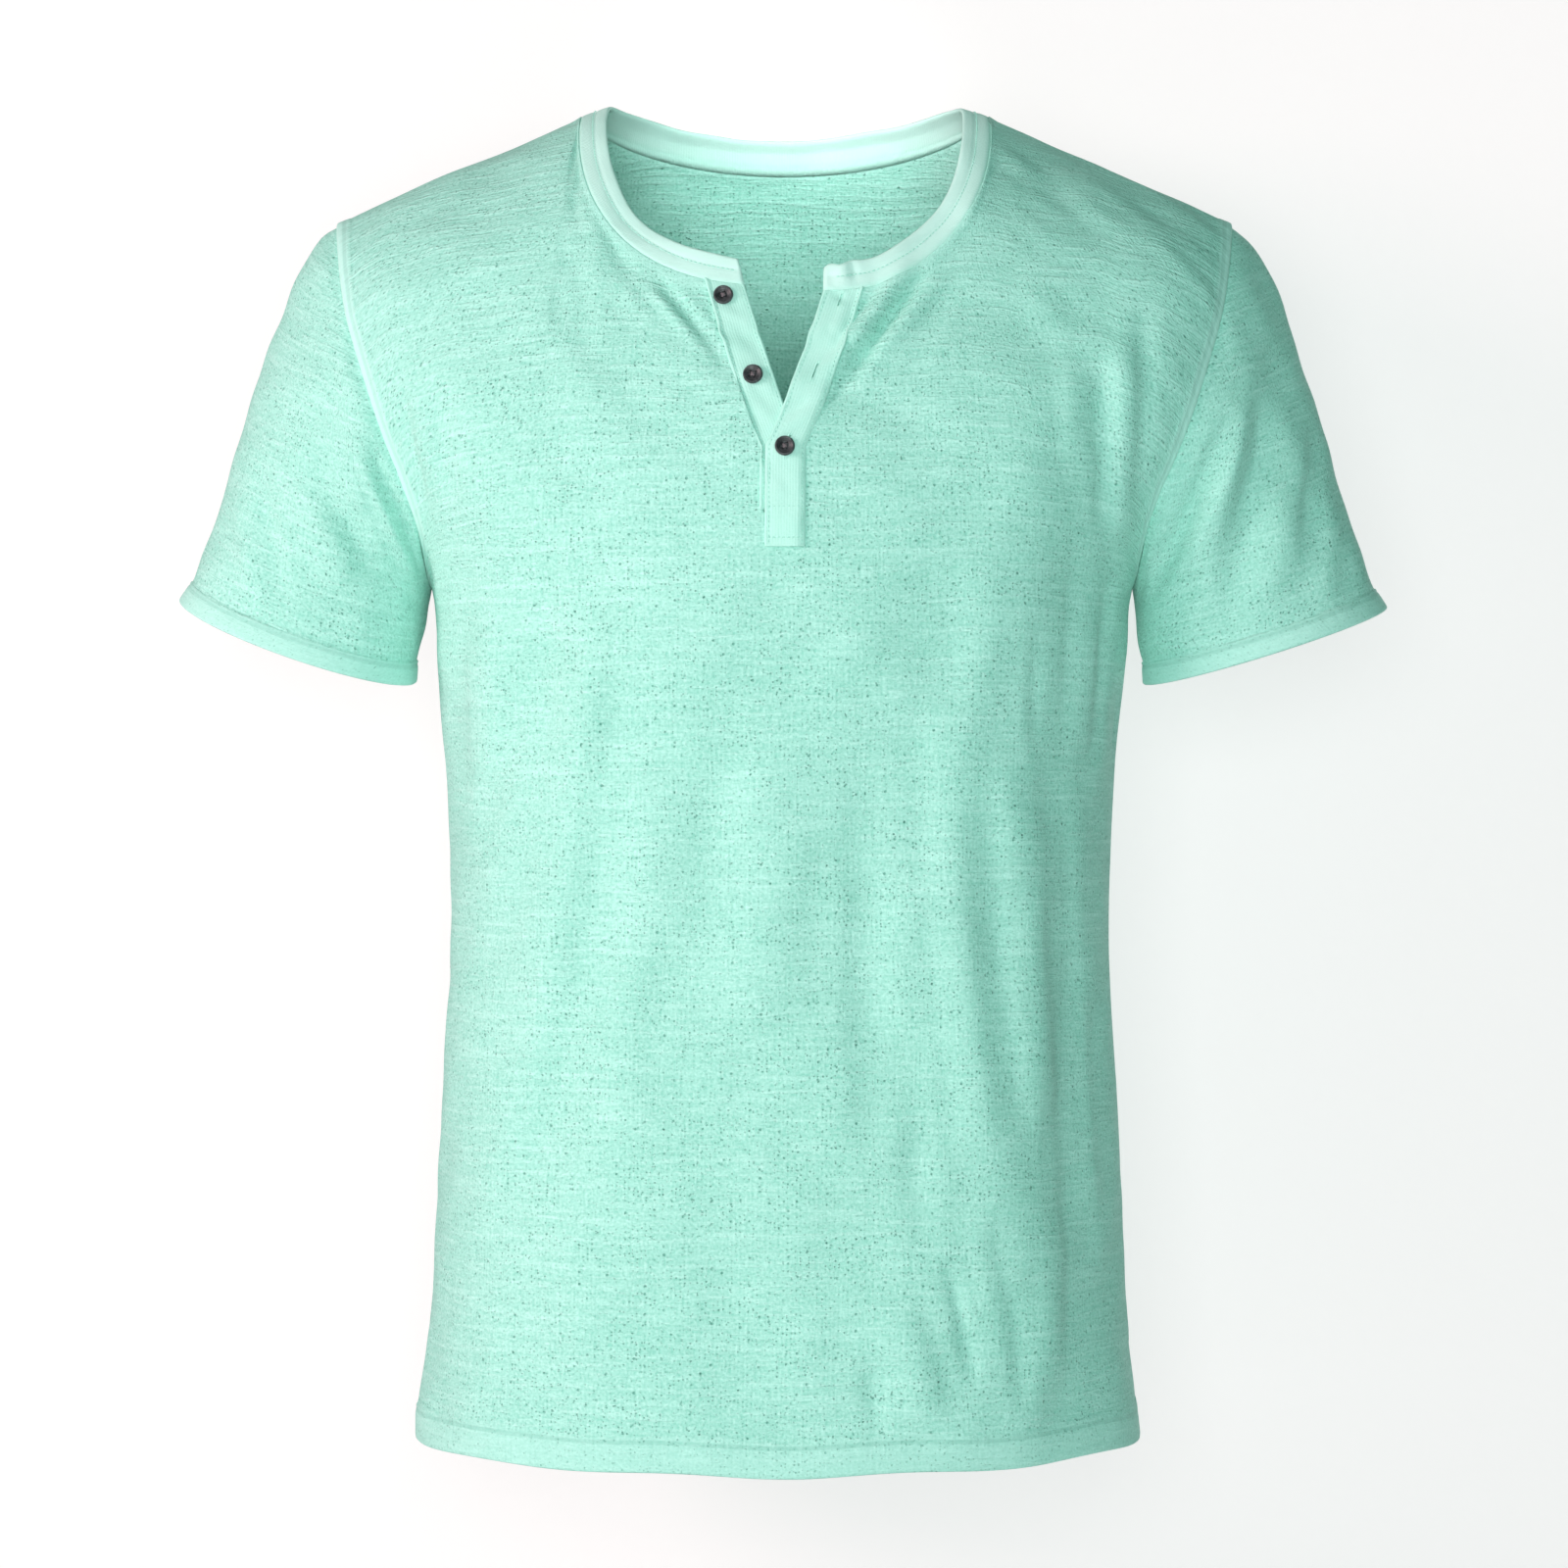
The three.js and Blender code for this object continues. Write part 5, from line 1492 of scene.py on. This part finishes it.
    def sew(self, cloth: Cloth) -> bpy.types.Object:
        """Sews the leaf's edges, the box at its foot and the threads round its buttonholes."""
        thread = Stitches(cloth.name.replace("_rib", "_stitches"), 2.4, 1.8, 0.5)
        u, v = cloth.lengths()
        columns, rows = cloth.grid.shape[:2]
        js = np.arange(2, rows - 2).astype(float)
        for distance, order in ((u, np.arange(columns)), (u[-1:] - u, np.arange(columns)[::-1])):
            i = np.array([np.interp(self.line_in, distance[order, int(r)], order.astype(float)) for r in js])
            thread.along(*cloth.at(i, js, self.thread_out))
        for at in self.box_lines if self.sign > 0 else ():
            i = np.linspace(1.5, columns - 2.5, 20)
            j = np.array([np.interp(at, v[int(c)], np.arange(rows)) for c in i])
            thread.along(*cloth.at(i, j, self.thread_out))
        slot = columns - 1.5 - self.shares.index(self.slot_share)
        for z0, long in self.holes:
            heights = np.arange(z0 - long / 2 - 0.3, z0 + long / 2 + 0.4, 0.5)
            js = np.interp(heights, cloth.grid[int(slot), :, 2], np.arange(rows))
            across = np.array([-1.75, -1.45, -0.75, -0.5])
            for j in js:
                for sign in (-1, 1):
                    ends, normals = cloth.at(np.full(4, slot) + sign * across, np.full(4, j), self.shirt.thread_out)
                    thread.one(list(ends), normals[0])
        return thread.build()


@dataclass
class Button:
    """A round moulding with a rolled rim, a dish and four sewn holes.

    Attributes:
        name: the CAD node that it stands for.
        x, z: where it sits, seen from the front.
        turn: how far it is turned about its axis, in radians.
    """

    name: str
    x: float
    z: float
    turn: float
    radius: float = 4.95
    hole_aside: float = 1.22 * math.sqrt(0.5) * 1.2
    hole_radius: float = 0.62
    hole_depth: float = 1.0
    profile: Table = Table(
        (0, 0.44, 0.54, 0.66, 0.78, 0.88, 0.95, 1.0),
        (1.25, 1.28, 1.62, 1.86, 2.2, 2.28, 2.05, 1.35),
    )
    around: int = 96
    rings: int = 44

    def top(self, r: Array, angle: Array) -> Array:
        """The upper side's height at places of the disc."""
        share = r / self.radius
        x, y = r * np.cos(angle), r * np.sin(angle)
        gap = np.hypot(np.abs(x) - self.hole_aside, np.abs(y) - self.hole_aside)
        return self.profile(share) - self.hole_depth * (1 - ease((gap - self.hole_radius + 0.12) / 0.24))

    def build(self, leaf: Cloth) -> tuple[bpy.types.Object, bpy.types.Object]:
        """Makes the button and its thread on a leaf.

        Args:
            leaf: the cloth that it is sewn to.
        Returns:
            The button and the thread.
        """
        i, j = locate(leaf, self.x, self.z)
        centre, out = (a[0] for a in leaf.at(np.array([i]), np.array([j]), 1.0))
        right = unit(np.array([1.0, 0, 0]) - out * out[0])
        up = np.cross(out, right)
        right, up = (
            right * math.cos(self.turn) + up * math.sin(self.turn),
            up * math.cos(self.turn) - right * math.sin(self.turn),
        )
        angle = np.arange(self.around) * 2 * math.pi / self.around
        dish = np.linspace(0.15, self.radius * 0.72, self.rings - 12)
        r = np.concatenate([dish, np.linspace(self.radius * 0.74, self.radius, 12)])
        upper = [(ring, self.top(np.full_like(angle, ring), angle)) for ring in r]
        lower = [(self.radius, 0.9), (self.radius * 0.95, 0.35), (self.radius * 0.82, 0.0), (0.15, 0.0)]
        points = []
        for ring, height in [*upper, *((q, np.full_like(angle, h)) for q, h in lower)]:
            points.append(np.stack([ring * np.cos(angle), ring * np.sin(angle), height], -1))
        local = np.concatenate(points)
        a = np.arange(self.around)
        n = (a + 1) % self.around
        last = (len(points) - 1) * self.around
        starts = range(0, last, self.around)
        faces = [np.stack([k + a, k + self.around + a, k + self.around + n, k + n], -1) for k in starts]
        axes = np.stack([right, up, out])
        polygons = np.concatenate(faces).tolist() + [a.tolist(), (last + a[::-1]).tolist()]
        item = make_mesh(self.name + "_moulding", centre + local @ axes, polygons)
        thread = Stitches(self.name + "_thread", thick=0.62)
        h = self.hole_aside
        for k, (sx, sy) in enumerate(((1, 1), (1, -1))):
            for side in (-0.24, 0.24):
                shift = np.array([-sy * side, sx * side, 0]) * 0.7
                high = 1.42 + 0.2 * k
                route = ((-1, 0.6), (-0.8, high), (0.8, high), (1, 0.6))
                ends = [np.array([t * sx * h, t * sy * h, z]) + shift for t, z in route]
                thread.one([centre + e @ axes for e in ends], out)
        return item, thread.build()


@dataclass(frozen=True)
class Lamp:
    """A square soft light that faces the shirt's middle; metres and watts."""

    name: str
    place: tuple[float, float, float]
    size: float
    power: float
    colour: tuple[float, float, float]

    def hang(self, aim_at: tuple[float, float, float]) -> None:
        """Puts the light in the scene, turned to what it lights."""
        data = bpy.data.lights.new(self.name, "AREA")
        data.size, data.energy, data.color = self.size, self.power, self.colour
        item = link(self.name, data)
        item.location = self.place
        aim = np.array(aim_at) - np.array(self.place)
        tilt = math.pi / 2 + math.atan2(aim[2], math.hypot(aim[0], aim[1]))
        item.rotation_euler = (tilt, 0, math.atan2(-aim[0], aim[1]))


LAMPS = (
    Lamp("near_camera", (-0.14, -2.60, -0.22), 1.1, 32.0, (0.85, 1.0, 0.985)),
    Lamp("key", (-2.12, -1.32, 0.34), 1.0, 41.0, (1.0, 0.77, 0.80)),
    Lamp("behind", (0.9, 2.3, 0.5), 1.6, 34.0, (1.0, 1.0, 1.0)),
)


@dataclass
class Studio:
    """Camera, lights, wall and floor, in metres."""

    eye: tuple[float, float, float] = (0.001, -2.3, -0.351)
    lens: float = 36 * 2.3 / 0.816
    middle: tuple[float, float, float] = (0.0, 0.0, -0.33)
    wall_y: float = 0.165
    floor_z: float = -0.86

    def camera(self) -> None:
        """Sets the camera level with the middle of the shirt, straight in front."""
        data = bpy.data.cameras.new("camera")
        data.lens, data.sensor_width, data.clip_end = self.lens, 36.0, 50.0
        item = link("camera", data)
        item.location, item.rotation_euler = self.eye, (math.pi / 2, 0, 0)
        bpy.context.scene.camera = item

    def lights(self) -> None:
        """The soft lights, and a small spot into the neck."""
        for lamp in LAMPS:
            lamp.hang(self.middle)
        data = bpy.data.lights.new("into_the_neck", "SPOT")
        data.energy, data.spot_size, data.spot_blend, data.shadow_soft_size = 26.0, math.radians(13.5), 1.0, 0.05
        data.color = (0.88, 1.0, 0.96)
        item = link("into_the_neck", data)
        item.location = (0.0, -0.90, 0.16)
        item.rotation_euler = (math.radians(80.3), 0, 0)

    def sky(self) -> None:
        """White surroundings, seen brighter than they light."""
        world = bpy.data.worlds.new("surroundings")
        bpy.context.scene.world = world
        world.use_nodes = True
        tree = world.node_tree
        tree.nodes.clear()
        path = tree.nodes.new("ShaderNodeLightPath")
        soft, bright = tree.nodes.new("ShaderNodeBackground"), tree.nodes.new("ShaderNodeBackground")
        soft.inputs["Color"].default_value, soft.inputs["Strength"].default_value = (0.35, 1.0, 0.80, 1), 0.165
        bright.inputs["Color"].default_value, bright.inputs["Strength"].default_value = (1, 1, 1, 1), 1.0
        pick, out = tree.nodes.new("ShaderNodeMixShader"), tree.nodes.new("ShaderNodeOutputWorld")
        tree.links.new(path.outputs["Is Camera Ray"], pick.inputs[0])
        tree.links.new(soft.outputs[0], pick.inputs[1])
        tree.links.new(bright.outputs[0], pick.inputs[2])
        tree.links.new(pick.outputs[0], out.inputs["Surface"])

    def stage(self) -> None:
        """A white wall close behind that shows only its front, and a pale floor below the view."""
        s = Shader("white_wall")
        matt = s.wire("ShaderNodeBsdfDiffuse", {}, {"Color": (0.42, 0.355, 0.36, 1), "Roughness": 0.0})
        glow = s.wire("ShaderNodeEmission", {}, {"Color": (1, 1, 1, 1), "Strength": 0.65})
        front = s.wire("ShaderNodeAddShader", {}, {0: matt, 1: glow})
        clear = s.wire("ShaderNodeBsdfTransparent", {}, {})
        behind = s.wire("ShaderNodeNewGeometry", {}, {}, "Backfacing")
        shown = s.wire("ShaderNodeMixShader", {}, {0: behind, 1: front, 2: clear})
        s.node("ShaderNodeOutputMaterial", {}, {"Surface": shown})
        upright = np.array([(-1.6, 0, -1.4), (1.6, 0, -1.4), (1.6, 0, 1.3), (-1.6, 0, 1.3)])
        level = np.array([(-4, -4, 0), (4, -4, 0), (4, 4, 0), (-4, 4, 0)])
        wall = make_mesh("wall", upright / MM, [[0, 1, 2, 3]], smooth=False)
        wall.location = (0, self.wall_y, 0)
        wall.data.materials.append(s.material)
        wall.visible_diffuse = wall.visible_glossy = wall.visible_shadow = False
        floor = make_mesh("floor", level / MM, [[0, 1, 2, 3]], smooth=False)
        floor.location = (0, 0, self.floor_z)
        pale = Shader("pale_floor")
        floor.data.materials.append(pale.finish((0.86, 0.86, 0.86, 1), 0.9, None, 0.0))


def dress(item: bpy.types.Object, material: bpy.types.Material, slot: Slot, *nodes: str) -> bpy.types.Object:
    """Finishes a piece: its material, its body and the nodes that it stands for."""
    item.data.materials.append(material)
    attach(item, BODY)
    if nodes:
        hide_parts(*nodes)
    LOG.info("%s: %d faces", item.name, len(item.data.polygons))
    return item


def locate(cloth: Cloth, x: float, z: float) -> tuple[float, float]:
    """The column and row, with fractions, at a place seen from the front."""
    columns, rows = np.arange(cloth.grid.shape[0]), np.arange(cloth.grid.shape[1])
    js = np.array([np.interp(z, cloth.grid[c, :, 2], rows) for c in columns])
    xs = np.array([np.interp(j, rows, cloth.grid[c, :, 0]) for c, j in zip(columns, js)])
    i = float(np.interp(x, xs, columns))
    return i, float(np.interp(i, columns, js))


def edge_row(distance: Array, at: float, columns: Array, rows: Array) -> tuple[Array, Array]:
    """Row numbers, with fractions, where a distance that falls along each column reaches a value."""
    found = [np.interp(-at, -distance[c, rows], rows) for c in columns]
    return columns.astype(float), np.array(found)


def sew_panel(shirt: Shirt, cloth: Cloth, name: str, turn_at: float, face: Face) -> bpy.types.Object:
    """Sews the hem, the armhole strips and the neckline strip of a panel."""
    thread = Stitches(name)
    u, v = cloth.lengths()
    down = v[:, -1:] - v
    columns = np.arange(1, cloth.grid.shape[0] - 1)
    hem_at = shirt.form.hem_depth - shirt.hem_line_in
    hem_j = np.array([np.interp(hem_at, v[c], np.arange(v.shape[1])) for c in columns])
    thread.along(*cloth.at(columns.astype(float), hem_j, shirt.thread_out))
    rows = np.arange(shirt.armpit_row + 2, cloth.grid.shape[1] - 1)
    for start, distance in ((True, u), (False, u[-1:] - u)):
        order = np.arange(0, 16) if start else np.arange(cloth.grid.shape[0] - 1, cloth.grid.shape[0] - 17, -1)
        i = np.array([np.interp(shirt.strip - shirt.arm_line_in, distance[order, r], order.astype(float)) for r in rows])
        thread.along(*cloth.at(i, rows.astype(float), shirt.thread_out))
    across = shirt.columns(turn_at)
    m = int(np.argmin(np.abs(across - turn_at)))
    n = len(across)
    tail = np.arange(cloth.grid.shape[1] - 30, cloth.grid.shape[1])
    # At the slit, the neckline row keeps clear of the leaves
    slit, right_stop, left_start = (shirt.slit_steps, n - 2, 2) if face is Face.FRONT else (0, n, 1)
    first = n - 1 + slit
    for span in (np.arange(n - 1 - m, right_stop), np.arange(first + left_start, first + m + 1)):
        place = edge_row(down, shirt.neck_strip - shirt.neck_line_in, span, tail)
        thread.along(*cloth.at(*place, shirt.thread_out))
    return thread.build()


def main() -> None:
    """Builds the shirt and its studio in order."""
    logging.basicConfig(level=logging.INFO, format="%(name)s %(message)s")
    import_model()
    studio = Studio()
    studio.camera()
    studio.lights()
    studio.sky()
    studio.stage()
    bpy.context.scene.view_settings.view_transform = "Standard"
    shirt = Shirt()
    front = shirt.panel("front_jersey", Face.FRONT, FRONT_FOLDS, 11)
    back = shirt.panel("back_jersey", Face.BACK, BACK_FOLDS, 31)
    front_item = dress(front.build(), shirt.jersey, Slot.JERSEY, "front")
    back_item = dress(back.build(), shirt.jersey, Slot.JERSEY, "back")
    front_seams = sew_panel(shirt, front, "front_stitches", shirt.front_turn, Face.FRONT)
    back_seams = sew_panel(shirt, back, "back_stitches", shirt.back_turn, Face.BACK)
    front_thread = dress(front_seams, shirt.thread, Slot.JERSEY)
    back_thread = dress(back_seams, shirt.thread, Slot.JERSEY)
    for side in Side:
        pattern = Sleeve(side, shirt, front, back)
        sleeve = pattern.cloth()
        node = f"sleeve_{side.name.lower()}"
        item = dress(sleeve.build(), shirt.jersey, Slot.JERSEY, node)
        thread = Stitches(node + "_stitches")
        _, v = sleeve.lengths()
        columns = np.arange(sleeve.grid.shape[0])
        j = np.array([np.interp(v[c, -1] - pattern.hem_line, v[c], np.arange(v.shape[1])) for c in columns])
        thread.along(*sleeve.at(columns.astype(float), j, shirt.thread_out), closed=True)
        thread_item = dress(thread.build(), shirt.thread, Slot.JERSEY)
    band = Neckband(shirt, front, back).cloth()
    band_item = dress(band.build(), shirt.rib, Slot.RIB, "neckband")
    thread = Stitches("neckband_stitches", 2.4, 1.8, 0.5)
    columns = np.arange(2, band.grid.shape[0] - 2).astype(float)
    inner, normals = band.at(columns, np.full(len(columns), 7.6), -0.95)
    thread.along(inner, -normals)
    band_thread = dress(thread.build(), shirt.thread, Slot.RIB)
    under = Leaf("placket_under_rib", -1, shirt, front, creases=UNDER_CREASES)
    over = Leaf("placket_over_rib", 1, shirt, front, BUTTONHOLES, OVER_CREASES)
    leaves = []
    for leaf in (under, over):
        cloth = leaf.cloth()
        node = leaf.name.removesuffix("_rib")
        item = dress(cloth.build(), shirt.rib, Slot.RIB, node)
        thread_item = dress(leaf.sew(cloth), shirt.thread, Slot.RIB)
        flat = (0.021, 0.14 if leaf.sign > 0 else 0.12)
        leaves.append(cloth)
    for button, leaf_cloth in (
        (Button("button_top", -29.2, -107.5, 0.35), leaves[0]),
        (Button("button_middle", -14.2, -148.4, -0.2), leaves[0]),
        (Button("button_bottom", 1.3, -184.5, 0.1), leaves[1]),
    ):
        moulding, thread_item = button.build(leaf_cloth)
        dress(moulding, shirt.button, Slot.BUTTON, button.name)
        dress(thread_item, shirt.button_thread, Slot.BUTTON)


if __name__ == "__main__":
    main()
